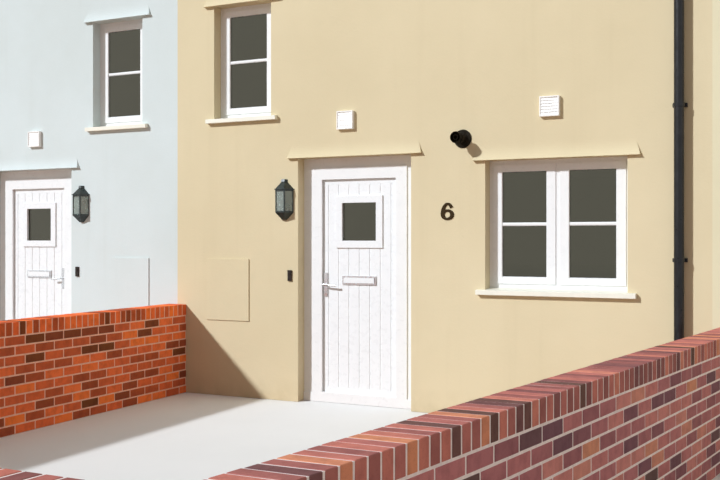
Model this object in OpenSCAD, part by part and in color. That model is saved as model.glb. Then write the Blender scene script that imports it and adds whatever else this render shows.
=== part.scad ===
// Row of three handed terraced houses with rendered fronts, a tiled pitched roof
// and brick garden walls in front of the middle house.
// X runs along the row, the fronts face -Y and Z is up. The origin is on the ground,
// under the middle of the middle house.

/* [Row] */
// Wall between the party line and the doorway
door_u = 1385; // [1300:5:1450]
// Wall between the doorway and the two-light windows
door_to_window = 685; // [600:5:900]
// Wall between the two-light windows and the other party line
window_to_party = 640; // [500:5:900]
// Depth from the front face to the rear face
house_depth = 8400; // [7000:50:10000]
// Thickness of the front and rear walls
wall_t = 300; // [260:5:360]
// Thickness of the party walls
party_t = 250; // [200:5:300]

/* [Roof] */
// Slope of the roof in degrees
roof_pitch = 38; // [30:1:45]
// Thickness of a roof slope, square to the slope
roof_t = 150; // [120:5:200]
// Overhang of the roof past the wall face
eaves_out = 250; // [200:10:320]
// Height of the fascia board
fascia_h = 190; // [170:5:220]
// Thickness of the fascia and soffit boards
board_t = 18; // [12:1:25]
// Outer radius of the ridge tiles
ridge_r = 130; // [110:5:160]

/* [Floors] */
// Top of the ground floor above the ground
ground_floor_z = 75; // [60:5:100]
// Height from the ground floor to the first floor
storey_h = 2645; // [2500:5:2900]
// Thickness of the first floor
floor_t = 240; // [200:10:280]
// Height of the first floor rooms
upper_room_h = 2300; // [2200:10:2500]
// Thickness of the ceiling
ceiling_t = 30; // [20:5:60]
// Height of the wall face at the eaves above the ceiling's underside
eaves_over_ceiling = 130; // [120:5:300]

/* [Windows] */
// Depth of the window frames behind the wall face
window_reveal = 110; // [80:5:140]
// Height of a window opening with its sill
window_h = 1130; // [1000:10:1200]
// Width of the two-light windows
wide_window_w = 1190; // [1100:10:1300]
// Width of the one-light windows
narrow_window_w = 650; // [600:10:700]
// Wall between the party line and the stair window
stair_window_u = 440; // [400:10:500]
// Height of the heads of the ground floor windows
ground_head_z = 2165; // [2050:5:2300]
// Height of the head of the stair window
stair_head_z = 3750; // [3600:10:4000]
// Drop from the eaves to the heads of the first floor windows
head_under_eaves = 420; // [400:10:600]
// Face width of the window frame
window_frame_w = 35; // [30:1:50]
// Face width of the sash stiles
sash_stile = 77; // [60:1:85]
// Face width of the sash rails
sash_rail = 58; // [50:1:70]
// Depth of the window frames
window_frame_d = 70; // [60:1:90]
// Depth of the sashes
sash_d = 52; // [44:1:60]
// How far the sashes stand out from the frame
sash_proud = 8; // [4:1:12]
// Thickness of the glass units
glass_t = 24; // [14:1:28]
// Height of a sill at the frame
sill_t = 55; // [45:1:65]
// Height of the sill's front edge
sill_nose = 38; // [30:1:42]
// How far a sill stands out from the wall
sill_out = 45; // [35:1:60]
// How far a sill runs past the opening on each side
sill_horn = 72; // [50:1:90]

/* [Front doors] */
// Face width of the frame beside the leaf
door_jamb_w = 185; // [150:1:200]
// Face height of the frame over the leaf
door_head_h = 188; // [150:1:200]
// Width of the door leaf
leaf_w = 780; // [740:1:800]
// Height of the door leaf
leaf_h = 1981; // [1950:1:2000]
// Thickness of the door leaf
leaf_t = 44; // [40:1:50]
// Gap between the leaf and its frame
leaf_gap = 6.5; // [6:0.5:8]
// Overlap of the frame's stop on the leaf
stop_cover = 12; // [8:1:15]
// Thickness of the frame's stop
stop_t = 20; // [15:1:25]
// Depth of the door frame behind the wall face
door_reveal = 100; // [80:5:120]
// Face width of the lining round the door frame
lining_w = 88; // [60:1:100]
// Step back from the door frame to its lining
lining_step = 12; // [6:1:16]
// Number of grooves down the leaf
groove_count = 7; // [5:2:9]
// Distance between the grooves
groove_pitch = 107; // [70:1:110]
// Width and height of the door's glass
light_w = 346; // [300:2:380]
// Distance of the middle of the door's glass below the leaf's head
light_down = 401; // [350:1:450]
// Face width of the frame round the door's glass
light_frame = 65; // [50:1:75]
// How far the frame round the glass stands out
light_proud = 14; // [8:1:18]

/* [Wall fittings] */
// Height of the bell-cast render above an opening
drip_h = 150; // [100:5:160]
// How far the bell-cast render stands out
drip_out = 35; // [25:1:45]
// How far the bell-cast render runs past an opening
drip_past = 105; // [80:5:120]
// Outside diameter of the downpipes
pipe_d = 76; // [65:1:85]
// Distance of the downpipe's middle from the wall
pipe_off = 62; // [50:1:75]
// Side of the square wall vents
vent_w = 165; // [150:1:200]
// How far the wall vents stand out
vent_out = 36; // [25:1:45]
// Width of the meter box cover
meter_w = 490; // [400:5:520]
// Height of the meter box cover
meter_h = 590; // [500:5:640]
// Outside diameter of the flue pipe
flue_d = 100; // [80:2:110]
// How far the flue stands out
flue_out = 175; // [150:5:220]
// Side of the six-sided wall lanterns
lantern_r = 98; // [80:1:110]
// Height of the glazed body of a lantern
lantern_body_h = 212; // [180:1:240]

/* [Garden walls] */
// Length of the garden walls from the front face
garden_len = 6290; // [5000:10:7000]
// Thickness of the garden walls
garden_wall_t = 215; // [200:5:225]
// Height of the brickwork under the coping
garden_wall_h = 760; // [680:5:850]
// Height of the brick-on-edge coping
coping_h = 104; // [100:1:110]
// How far the left wall leans to the right on plan, in degrees
left_wall_turn = 4; // [0:0.5:5]
// How far the right wall leans to the left on plan, in degrees
right_wall_turn = 5; // [0:0.5:6]
// Shift of the right wall's house end past the party line
right_wall_shift = 240; // [0:5:260]
// Width of the gap for the path
path_gap = 1250; // [1000:10:1400]

/* [Hidden] */
$fn = 32;
houses = [-1, 0, 1];
names = ["left", "middle", "right"];
door_open_w = leaf_w + 2 * door_jamb_w;
wide_window_u = door_u + door_open_w + door_to_window;
house_w = wide_window_u + wide_window_w + window_to_party;
row_w = len(houses) * house_w;
half_depth = house_depth / 2;
first_floor_z = ground_floor_z + storey_h;
ceiling_z = first_floor_z + upper_room_h;
eaves_z = ceiling_z + eaves_over_ceiling;
roof_rise = tan(roof_pitch);
roof_dz = roof_t / cos(roof_pitch);
roof_bed = 0.3;
leaf_z = ground_floor_z + leaf_gap;
leaf_u = door_u + door_jamb_w;
leaf_y = door_reveal + stop_t + leaf_gap;
door_frame_d = stop_t + leaf_gap + leaf_t;
door_open_h = leaf_z + leaf_h + door_head_h;
door_mid = leaf_u + leaf_w / 2;
upper_head_z = eaves_z - head_under_eaves;
far = 20000;

// Place from the party line, width, underside of the sill and number of lights
front_windows = [
    [wide_window_u, wide_window_w, ground_head_z - window_h, 2],
    [stair_window_u, narrow_window_w, stair_head_z - window_h, 1],
    [wide_window_u, wide_window_w, upper_head_z - window_h, 2]
];
rear_door_w = 1010;
rear_door_h = 2165;
rear_frame_d = 70;
rear_windows = [
    [wide_window_u, wide_window_w, ground_head_z - window_h, 2],
    [door_u + (rear_door_w - narrow_window_w) / 2, narrow_window_w, upper_head_z - window_h, 1],
    [wide_window_u, wide_window_w, upper_head_z - window_h, 2]
];

// Height of the roof's underside at a distance from the front or rear face
function roof_under(y) = eaves_z + y * roof_rise;

// Puts what is measured from the front face into the row's own frame
module from_front() translate([0, -half_depth, 0]) children();

// The same for the rear face, so that y runs into the house again
module from_rear() translate([0, half_depth, 0]) mirror([0, 1, 0]) children();

// Places a house so that x is measured from the party line on its door side
module at_house(k) {
    if (k == 0) translate([-house_w / 2, 0, 0]) children();
    if (k == -1) translate([-house_w / 2, 0, 0]) mirror([1, 0, 0]) children();
    if (k == 1) translate([1.5 * house_w, 0, 0]) mirror([1, 0, 0]) children();
}

module at_front(k) from_front() at_house(k) children();

// Runs a profile drawn in y and z along x
module along_x(x0, x1) translate([x0, 0, 0]) rotate([90, 0, 90]) linear_extrude(x1 - x0) children();

module block(a, b) translate(a) cube(b - a);

// Walls

module wall_profile(z0) polygon([[0, z0], [wall_t, z0], [wall_t, roof_under(wall_t)], [0, roof_under(0)]]);

module window_holes(windows) for (w = windows)
    block([w[0], -1, w[2]], [w[0] + w[1], wall_t + 1, w[2] + window_h]);

module front_stair_side() difference() {
    along_x(0, door_u) wall_profile(0);
    window_holes([front_windows[1]]);
}

module front_over_door() along_x(door_u, door_u + door_open_w) wall_profile(door_open_h);

module front_window_side() difference() {
    along_x(door_u + door_open_w, house_w) wall_profile(0);
    window_holes([front_windows[0], front_windows[2]]);
}

module whole_front() difference() {
    along_x(0, house_w) wall_profile(0);
    window_holes(front_windows);
    block([door_u, -1, -1], [door_u + door_open_w, wall_t + 1, door_open_h]);
}

module rear_wall() difference() {
    along_x(0, house_w) wall_profile(0);
    window_holes(rear_windows);
    block([door_u, -1, -1], [door_u + rear_door_w, wall_t + 1, rear_door_h]);
}

module party_profile() polygon([
    [wall_t, 0], [house_depth - wall_t, 0], [house_depth - wall_t, roof_under(wall_t)],
    [half_depth, roof_under(half_depth)], [wall_t, roof_under(wall_t)]
]);

module party_walls() color("lightgray") from_front() for (i = [0 : len(houses)]) {
    x = -row_w / 2 + i * house_w;
    x0 = i == 0 ? x : i == len(houses) ? x - party_t : x - party_t / 2;
    along_x(x0, x0 + party_t) party_profile();
}

module left_wall() color("lightblue") at_front(-1) children();
module middle_wall() color("wheat") at_front(0) children();

// Floors

function room_x0(k) = (k - 0.5) * house_w + (k == -1 ? party_t : party_t / 2);
function room_x1(k) = (k + 0.5) * house_w - (k == 1 ? party_t : party_t / 2);

module room_slabs(z0, z1) from_front() for (k = houses)
    block([room_x0(k), wall_t, z0], [room_x1(k), house_depth - wall_t, z1]);

// The ground floor runs on through the doorways up to the door frames
module ground_floors() color("gray") {
    room_slabs(0, ground_floor_z);
    from_front() for (k = houses) at_house(k)
        block([door_u, door_reveal + door_frame_d, 0], [door_u + door_open_w, wall_t, ground_floor_z]);
    from_rear() for (k = houses) at_house(k)
        block([door_u, door_reveal + rear_frame_d, 0], [door_u + rear_door_w, wall_t, ground_floor_z]);
}
module first_floors() color("tan") room_slabs(first_floor_z - floor_t, first_floor_z);
module ceilings() color("white") room_slabs(ceiling_z, ceiling_z + ceiling_t);

// Roof

// Height of a slope's underside, just clear of the wall heads that it beds on
function slope_z(y) = roof_under(y) + roof_bed;

module roof_slope() along_x(-row_w / 2, row_w / 2) polygon([
    [-eaves_out, slope_z(-eaves_out)], [half_depth, slope_z(half_depth)],
    [half_depth, slope_z(half_depth) + roof_dz], [-eaves_out, slope_z(-eaves_out) + roof_dz]
]);

module roof_front_slope() color("slategray") from_front() roof_slope();
module roof_rear_slope() color("slategray") from_rear() roof_slope();

// The ridge tiles are bedded on both slopes, so their underside follows the slopes
module ridge_capping() {
    top = slope_z(half_depth) + roof_dz + roof_bed;
    color("darkslategray") difference() {
        translate([-row_w / 2, 0, top - 0.45 * ridge_r]) rotate([0, 90, 0]) cylinder(h = row_w, r = ridge_r);
        along_x(-row_w / 2 - 1, row_w / 2 + 1)
            polygon([[-far, top - far * roof_rise], [0, top], [far, top - far * roof_rise]]);
    }
}

// Eaves

soffit_z = roof_under(-eaves_out) - board_t;
fascia_z0 = soffit_z - 12;
fascia_y = -eaves_out - board_t;
wall_gap = 1;

module eaves_profile() polygon([
    [fascia_y, fascia_z0], [-eaves_out, fascia_z0], [-eaves_out, soffit_z], [0, soffit_z],
    [0, soffit_z + board_t], [-eaves_out, soffit_z + board_t], [-eaves_out, fascia_z0 + fascia_h],
    [fascia_y, fascia_z0 + fascia_h]
]);

// Board that closes the eaves at an end of the row
module box_end() polygon([
    [-eaves_out, soffit_z + board_t], [-wall_gap, soffit_z + board_t], [-wall_gap, roof_under(-wall_gap)],
    [-eaves_out, roof_under(-eaves_out)]
]);

module eaves_side() {
    along_x(-row_w / 2, row_w / 2) eaves_profile();
    for (x = [-row_w / 2, row_w / 2 - board_t]) along_x(x, x + board_t) box_end();
}

module eaves_boards() color("white") {
    from_front() eaves_side();
    from_rear() eaves_side();
}

// Rainwater goods

gutter_r = 56;
gutter_t = 3;
gutter_off = 4;
gutter_y = fascia_y - gutter_r - gutter_off;
gutter_z = fascia_z0 + fascia_h - 45;
bracket_w = 26;
bracket_end = 150;
bracket_step = 950;
bracket_plate_h = 60;

module half_ring(r0, r1) difference() {
    circle(r1);
    circle(r0);
    translate([-far / 2, 0]) square([far, far]);
}

module gutter() {
    along_x(-row_w / 2, row_w / 2) translate([gutter_y, gutter_z]) half_ring(gutter_r - gutter_t, gutter_r);
    for (x = [-row_w / 2, row_w / 2 - gutter_t]) along_x(x, x + gutter_t)
        translate([gutter_y, gutter_z]) difference() {
            circle(gutter_r);
            translate([-far / 2, 0]) square([far, far]);
        }
    bays = floor(row_w / bracket_step);
    for (i = [0 : bays]) {
        x = -row_w / 2 + bracket_end + i * (row_w - 2 * bracket_end - bracket_w) / bays;
        along_x(x, x + bracket_w) {
            translate([gutter_y, gutter_z]) half_ring(gutter_r - 1, gutter_r + gutter_off);
            translate([fascia_y - gutter_off, gutter_z - bracket_plate_h + 15])
                square([gutter_off, bracket_plate_h]);
        }
    }
}

module gutters() color("black") {
    from_front() gutter();
    from_rear() gutter();
}

pipe_u = house_w - 235;
pipe_foot_z = 60;
neck_top_z = gutter_z - gutter_r - 2;
neck_a_z = fascia_z0 - 60;
neck_b_z = neck_a_z - 190;
clip_z = 1340;
clip_step = 1190;
clip_h = 30;
clip_w = 110;
clip_t = 5;
socket_h = 70;
top_clip_z = neck_b_z - 75;
clip_zs = concat([for (z = [clip_z : clip_step : top_clip_z - clip_step / 2]) z], [top_clip_z]);

module bend(y, z) translate([0, y, z]) sphere(d = pipe_d, $fn = 24);

module downpipe() {
    run = -pipe_off - gutter_y;
    drop = neck_a_z - neck_b_z;
    translate([0, gutter_y, neck_a_z]) {
        cylinder(h = neck_top_z - neck_a_z, d = pipe_d);
        rotate([180 + atan2(run, drop), 0, 0]) cylinder(h = norm([run, drop]), d = pipe_d);
    }
    bend(gutter_y, neck_a_z);
    bend(-pipe_off, neck_b_z);
    translate([0, -pipe_off, 0]) {
        translate([0, 0, pipe_foot_z]) cylinder(h = neck_b_z - pipe_foot_z, d = pipe_d);
        translate([0, 0, neck_b_z - 2 * socket_h]) cylinder(h = socket_h, d = pipe_d + 2 * clip_t);
    }
    for (z = clip_zs) {
        translate([0, -pipe_off, z - clip_h / 2]) cylinder(h = clip_h, d = pipe_d + 2 * clip_t);
        block([-clip_w / 2, -pipe_off + pipe_d / 2 - 3, z - clip_h / 2], [clip_w / 2, 0, z + clip_h / 2]);
    }
}

module downpipes() color("black") {
    from_front() for (k = [-1, 0]) at_house(k) translate([pipe_u, 0, 0]) downpipe();
    from_rear() for (k = [-1, 0]) at_house(k) translate([pipe_u, 0, 0]) downpipe();
}

// Bell-cast render over the openings

drip_bend = 3;
drip_steps = 8;
drip_slant = 45;

// The face sweeps out towards the foot, and the ends run in towards the top
module drip(u, w, z) intersection() {
    along_x(u - drip_past, u + w + drip_past) polygon(concat([[0, z]], [for (i = [0 : drip_steps])
        [-drip_out * pow(1 - i / drip_steps, drip_bend), z + drip_h * i / drip_steps]]));
    translate([u + w / 2, 1, z]) rotate([90, 0, 0]) linear_extrude(drip_out + 2) polygon([
        [-w / 2 - drip_past, 0], [w / 2 + drip_past, 0],
        [w / 2 + drip_past - drip_slant, drip_h], [-w / 2 - drip_past + drip_slant, drip_h]
    ]);
}

module bell_cast_drips() color("wheat") from_front() for (k = houses) at_house(k) {
    drip(door_u, door_open_w, door_open_h);
    for (w = front_windows) drip(w[0], w[1], w[2] + window_h);
}

// Windows

module sill_profile() polygon([
    [-sill_out, 0], [-sill_out + 12, 0], [-sill_out + 12, 8], [-sill_out + 20, 8], [-sill_out + 20, 0],
    [window_reveal + window_frame_d, 0], [window_reveal + window_frame_d, sill_t],
    [window_reveal, sill_t], [-sill_out, sill_nose]
]);

module sill(w) translate([0, 0, w[2]]) {
    along_x(w[0], w[0] + w[1]) sill_profile();
    along_x(w[0] - sill_horn, w[0] + w[1] + sill_horn) intersection() {
        sill_profile();
        translate([-far, -far]) square([far, 2 * far]);
    }
}

module ring(u0, u1, z0, z1, y0, y1, side, foot) difference() {
    block([u0, y0, z0], [u1, y1, z1]);
    block([u0 + side, y0 - 1, z0 + foot], [u1 - side, y1 + 1, z1 - foot]);
}

function light_w_of(w) = (w[1] - (w[3] + 1) * window_frame_w) / w[3];
function light_u_of(w, i) = w[0] + window_frame_w + i * (light_w_of(w) + window_frame_w);

module window_frame(w) {
    z0 = w[2] + sill_t;
    z1 = w[2] + window_h;
    difference() {
        block([w[0], window_reveal, z0], [w[0] + w[1], window_reveal + window_frame_d, z1]);
        for (i = [0 : w[3] - 1])
            block([light_u_of(w, i), 0, z0 + window_frame_w],
                [light_u_of(w, i) + light_w_of(w), wall_t, z1 - window_frame_w]);
    }
}

sash_y = window_reveal - sash_proud;

module sashes(w) for (i = [0 : w[3] - 1])
    ring(light_u_of(w, i), light_u_of(w, i) + light_w_of(w), w[2] + sill_t + window_frame_w,
        w[2] + window_h - window_frame_w, sash_y, sash_y + sash_d, sash_stile, sash_rail);

module panes(w) for (i = [0 : w[3] - 1])
    block([light_u_of(w, i) + sash_stile, sash_y + sash_d / 2 - glass_t / 2,
            w[2] + sill_t + window_frame_w + sash_rail],
        [light_u_of(w, i) + light_w_of(w) - sash_stile, sash_y + sash_d / 2 + glass_t / 2,
            w[2] + window_h - window_frame_w - sash_rail]);

module every_window() {
    from_front() for (k = houses) at_house(k) for (w = front_windows) {
        $window = w;
        children();
    }
    from_rear() for (k = houses) at_house(k) for (w = rear_windows) {
        $window = w;
        children();
    }
}

module window_sills() color("white") every_window() sill($window);
module window_frames() color("white") every_window() window_frame($window);
module window_sashes() color("white") every_window() sashes($window);
module window_glass() color("lightblue") every_window() panes($window);

// Front doors

module door_frame() {
    u1 = door_u + door_open_w;
    y1 = door_reveal + door_frame_d;
    difference() {
        block([door_u, door_reveal, 0], [u1, y1, door_open_h]);
        // Clear way between the stops
        block([leaf_u + stop_cover, 0, leaf_z + stop_cover],
            [leaf_u + leaf_w - stop_cover, far, leaf_z + leaf_h - stop_cover]);
        // Rebate for the leaf
        block([leaf_u - leaf_gap, door_reveal + stop_t, leaf_z - leaf_gap],
            [leaf_u + leaf_w + leaf_gap, far, leaf_z + leaf_h + leaf_gap]);
        // Lining round the frame
        difference() {
            block([door_u - 1, 0, leaf_z], [u1 + 1, door_reveal + lining_step, door_open_h + 1]);
            block([door_u + lining_w, -1, -1], [u1 - lining_w, far, door_open_h - lining_w]);
        }
    }
}

groove_r = 6;
groove_end = 60;
glass_in = 10;
light_z = leaf_z + leaf_h - light_down;

// A square centred on the door's glass, through the leaf from one depth to another
module at_light(size, y0, y1)
    block([door_mid - size / 2, y0, light_z - size / 2], [door_mid + size / 2, y1, light_z + size / 2]);

module door_leaf() difference() {
    union() {
        difference() {
            block([leaf_u, leaf_y, leaf_z], [leaf_u + leaf_w, leaf_y + leaf_t, leaf_z + leaf_h]);
            for (i = [0 : groove_count - 1]) translate([
                    door_mid + (i - (groove_count - 1) / 2) * groove_pitch, leaf_y, leaf_z + groove_end
                ]) linear_extrude(leaf_h - 2 * groove_end) circle(r = groove_r, $fn = 4);
        }
        at_light(light_w + 2 * light_frame, leaf_y - light_proud, leaf_y + glass_in);
    }
    at_light(light_w, 0, far);
}

module door_glass() at_light(light_w, leaf_y + glass_in, leaf_y + glass_in + glass_t);

letter_w = 345;
letter_h = 80;
letter_z = 1127;

letter_t = 10;
flap_t = 6;
flap_in = 16;

module letter_plate() translate([door_mid, leaf_y, letter_z]) {
    block([-letter_w / 2, -letter_t, -letter_h / 2], [letter_w / 2, 0, letter_h / 2]);
    block([-letter_w / 2 + flap_in, -letter_t - flap_t, -letter_h / 2 + flap_in],
        [letter_w / 2 - flap_in, -letter_t, letter_h / 2 - flap_in]);
}

handle_in = 45;
handle_z = 1085;
handle_plate_w = 34;
handle_plate_t = 9;
handle_plate_h = 220;
handle_out = 52;
handle_d = 18;
lever_l = 125;
lever_droop = 4;

module handle_side() {
    block([-handle_plate_w / 2, -handle_plate_t, -handle_plate_h / 2],
        [handle_plate_w / 2, 0, handle_plate_h / 2]);
    rotate([90, 0, 0]) cylinder(h = handle_out, d = handle_d);
    translate([0, -handle_out, 0]) {
        sphere(d = handle_d);
        rotate([0, 90 + lever_droop, 0]) cylinder(h = lever_l, d = handle_d - 1);
    }
}

module lever_handle() translate([leaf_u + handle_in, 0, handle_z]) {
    translate([0, leaf_y, 0]) handle_side();
    translate([0, leaf_y + leaf_t, 0]) mirror([0, 1, 0]) handle_side();
}

// Hinges on the inner faces of frame and leaf, with the pin fixed in the frame's half

hinge_count = 3;
hinge_end = 200;
hinge_h = 102;
hinge_plate_w = 34;
hinge_plate_t = 3;
knuckle_d = 16;
hinge_pin_d = 9;
pin_clear = 0.3;
knuckle_gap = 0.5;
knuckle_room = 1;
hinge_face_y = -knuckle_d / 2 - 0.5;

module at_hinges() for (i = [0 : hinge_count - 1])
    translate([leaf_u + leaf_w + leaf_gap / 2, door_reveal + door_frame_d - hinge_face_y,
            leaf_z + hinge_end + i * (leaf_h - 2 * hinge_end) / (hinge_count - 1)])
        children();

module hinge_barrel(part, d) translate([0, 0, -part / 2]) cylinder(h = part, d = d);

module hinge_fixed_half() difference() {
    union() {
        hinge_barrel(hinge_h, knuckle_d);
        block([0, hinge_face_y, -hinge_h / 2], [hinge_plate_w, hinge_face_y + hinge_plate_t, hinge_h / 2]);
    }
    difference() {
        hinge_barrel(hinge_h / 3, knuckle_d + 2 * knuckle_room);
        hinge_barrel(hinge_h, hinge_pin_d);
    }
}

module hinge_moving_half() difference() {
    union() {
        hinge_barrel(hinge_h / 3 - 2 * knuckle_gap, knuckle_d);
        difference() {
            block([-hinge_plate_w, hinge_face_y, -hinge_h / 2],
                [0, hinge_face_y + hinge_plate_t, hinge_h / 2]);
            for (s = [-1, 1]) translate([0, 0, s * hinge_h / 3])
                hinge_barrel(hinge_h / 3 + 2 * knuckle_gap, knuckle_d + 2 * knuckle_room);
        }
    }
    hinge_barrel(hinge_h, hinge_pin_d + 2 * pin_clear);
}

module door_furniture() {
    letter_plate();
    lever_handle();
    at_hinges() hinge_moving_half();
}

module front_door_hinges() color("silver") from_front() for (k = houses) at_house(k)
    at_hinges() hinge_fixed_half();

module front_door_frames() color("white") from_front() for (k = houses) at_house(k) door_frame();

// Rear doors

rear_jamb_w = 75;
rear_step = 15;
rear_panel_in = 125;
rear_panel_d = 30;
rear_lock_z = 900;
rear_rail_w = 110;

module rear_doors() color("white") from_rear() for (k = houses) at_house(k) {
    u0 = door_u + rear_jamb_w;
    u1 = door_u + rear_door_w - rear_jamb_w;
    z1 = rear_door_h - rear_jamb_w;
    difference() {
        block([door_u, door_reveal, 0], [door_u + rear_door_w, door_reveal + rear_frame_d, rear_door_h]);
        block([u0, 0, rear_jamb_w], [u1, door_reveal + rear_step, z1]);
        for (z = [[rear_jamb_w + 150, rear_lock_z], [rear_lock_z + rear_rail_w, z1 - rear_panel_in]])
            block([u0 + rear_panel_in, 0, z[0]], [u1 - rear_panel_in, door_reveal + rear_panel_d, z[1]]);
    }
}

// Wall fittings

lantern_u = door_u - 145;
lantern_foot_z = 1680;
lantern_foot_h = 70;
lantern_roof_h = 74;
lantern_rim_t = 8;
lantern_rim_out = 10;
lantern_cap_r = 32;
lantern_cap_h = 24;
lantern_sheet = 6;
lantern_bar = 9;
lantern_rail = 14;
lantern_pane_t = 3;
pane_r = lantern_r - lantern_sheet;
lamp_y = -42;
lamp_d = 30;
lamp_h = 45;
bulb_d = 58;

// The half of a six-sided prism or cone that stands out from the wall
module half_six(r0, r1, h, back = 0) difference() {
    cylinder(r1 = r0, r2 = r1, h = h, $fn = 6);
    block([-far, -back, -far], [far, far, far]);
}

module wall_lantern() {
    z1 = lantern_foot_h;
    z2 = z1 + lantern_body_h;
    half_six(lantern_r / 4, lantern_r, z1);
    // Glazed body: a sheet of six-sided form with an opening in each of its three faces
    difference() {
        translate([0, 0, z1]) half_six(lantern_r, lantern_r, lantern_body_h);
        translate([0, 0, z1]) half_six(pane_r, pane_r, lantern_body_h, lantern_sheet);
        for (a = [-60, 0, 60]) rotate([0, 0, a])
            block([-lantern_r / 2 + lantern_bar, -lantern_r, z1 + lantern_rail],
                [lantern_r / 2 - lantern_bar, -lantern_r / 2, z2 - lantern_rail]);
    }
    translate([0, 0, z2]) {
        half_six(lantern_r + lantern_rim_out, lantern_r + lantern_rim_out, lantern_rim_t);
        translate([0, 0, lantern_rim_t]) half_six(lantern_r, lantern_cap_r, lantern_roof_h - lantern_rim_t);
        translate([0, 0, lantern_roof_h]) half_six(lantern_cap_r + 6, lantern_cap_r, lantern_cap_h);
    }
    translate([0, lamp_y, z1]) cylinder(h = lamp_h, d = lamp_d);
}

// Panes behind the three faces, and the lamp on its holder
module lantern_inside() {
    hollow_r = pane_r - lantern_pane_t;
    translate([0, 0, lantern_foot_h]) difference() {
        half_six(pane_r, pane_r, lantern_body_h, lantern_sheet);
        translate([0, 0, -1]) half_six(hollow_r, hollow_r, lantern_body_h + 2);
    }
    translate([0, lamp_y, lantern_foot_h + lamp_h + bulb_d / 2 - 4]) difference() {
        sphere(d = bulb_d);
        block([-far, -far, -far], [far, far, 4 - bulb_d / 2]);
    }
}

module at_lanterns() from_front() for (k = houses) at_house(k) translate([lantern_u, 0, lantern_foot_z])
    children();

module wall_lanterns() color("black") at_lanterns() wall_lantern();
module lantern_glass() color("lightblue") at_lanterns() lantern_inside();

meter_u = 355;
meter_z = 725;
meter_t = 10;

module meter_box_covers() color("wheat") from_front() for (k = houses) at_house(k)
    block([meter_u, -meter_t, meter_z], [meter_u + meter_w, 0, meter_z + meter_h]);

// Each vent lies over an opening
vents = [
    [door_mid - 68, door_open_h + drip_h + 173],
    [wide_window_u + wide_window_w / 2 - 30, ground_head_z + drip_h + 270]
];
vent_rim = 11;
vent_back = 6;
slat_count = 6;
slat_t = 3;
slat_in = 3;

module wall_vent() {
    inner = vent_w - 2 * vent_rim;
    pitch = inner / slat_count;
    slat_y = slat_in - vent_out;
    difference() {
        block([-vent_w / 2, -vent_out, -vent_w / 2], [vent_w / 2, 0, vent_w / 2]);
        block([-inner / 2, -far, -inner / 2], [inner / 2, -vent_back, inner / 2]);
    }
    for (i = [0 : slat_count - 1]) along_x(-inner / 2, inner / 2) translate([0, -inner / 2 + i * pitch])
        polygon([[slat_y, 1], [slat_y, 1 + slat_t], [-vent_back, pitch - 1], [-vent_back, pitch - 1 - slat_t]]);
}

module wall_vents() color("white") from_front() for (k = houses) at_house(k) for (v = vents)
    translate([v[0], 0, v[1]]) wall_vent();

flue_u = wide_window_u - 200;
flue_z = ground_head_z + 190;
flue_collar_t = 12;
flue_collar_out = 22;
flue_head_h = 64;
flue_head_out = 30;
flue_fins = 3;
flue_fin_t = 7;
flue_cap_h = 16;

// Wall collar, pipe and a head of round fins under a bevelled cap
module flue_terminal() rotate([90, 0, 0]) {
    fin_pitch = (flue_head_h - flue_cap_h) / flue_fins;
    cylinder(h = flue_collar_t, d = flue_d + 2 * flue_collar_out);
    cylinder(h = flue_out - flue_cap_h, d = flue_d);
    for (i = [0 : flue_fins - 1]) translate([0, 0, flue_out - flue_head_h + i * fin_pitch])
        cylinder(h = flue_fin_t, d = flue_d + 2 * flue_head_out);
    translate([0, 0, flue_out - flue_cap_h])
        cylinder(h = flue_cap_h, d1 = flue_d + 2 * flue_head_out, d2 = flue_d + flue_head_out);
}

module flue_terminals() color("black") from_front() for (k = houses) at_house(k)
    translate([flue_u, 0, flue_z]) flue_terminal();

bell_u = door_u - 85;
bell_z = 1165;
bell_w = 40;
bell_h = 100;
bell_t = 14;
bell_button_d = 22;
bell_button_t = 5;

module bell_push() {
    block([-bell_w / 2, -bell_t, -bell_h / 2], [bell_w / 2, 0, bell_h / 2]);
    translate([0, 0, bell_h / 6]) rotate([90, 0, 0]) cylinder(h = bell_t + bell_button_t, d = bell_button_d);
}

module bell_pushes() color("black") from_front() for (k = houses) at_house(k)
    translate([bell_u, 0, bell_z]) bell_push();

// Garden walls

left_line = [-house_w / 2, left_wall_turn];
right_line = [house_w / 2 + right_wall_shift, -right_wall_turn];
front_wall_y = -garden_len + garden_wall_t;
path_mid = -house_w / 2 + door_u + door_open_w / 2;

// Where the middle of a cross wall lies at a distance from the front face
function line_x(line, y) = line[0] - y * tan(line[1]);

// A cross wall with its part of the street wall, seen from above; side is 1 where the garden
// lies to its right and -1 where it lies to its left
module garden_corner(line, side) {
    half = side * garden_wall_t / 2 / cos(line[1]);
    gap_x = path_mid - side * path_gap / 2;
    polygon([
        [line[0] - half, 0], [line[0] + half, 0], [line_x(line, front_wall_y) + half, front_wall_y],
        [gap_x, front_wall_y], [gap_x, -garden_len], [line_x(line, -garden_len) - half, -garden_len]
    ]);
}

module garden_layer(z0, z1) from_front() translate([0, 0, z0]) linear_extrude(z1 - z0) {
    garden_corner(left_line, 1);
    garden_corner(right_line, -1);
}

module garden_walls() color("firebrick") garden_layer(0, garden_wall_h);
module garden_wall_copings() color("brown") garden_layer(garden_wall_h, garden_wall_h + coping_h);

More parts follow.
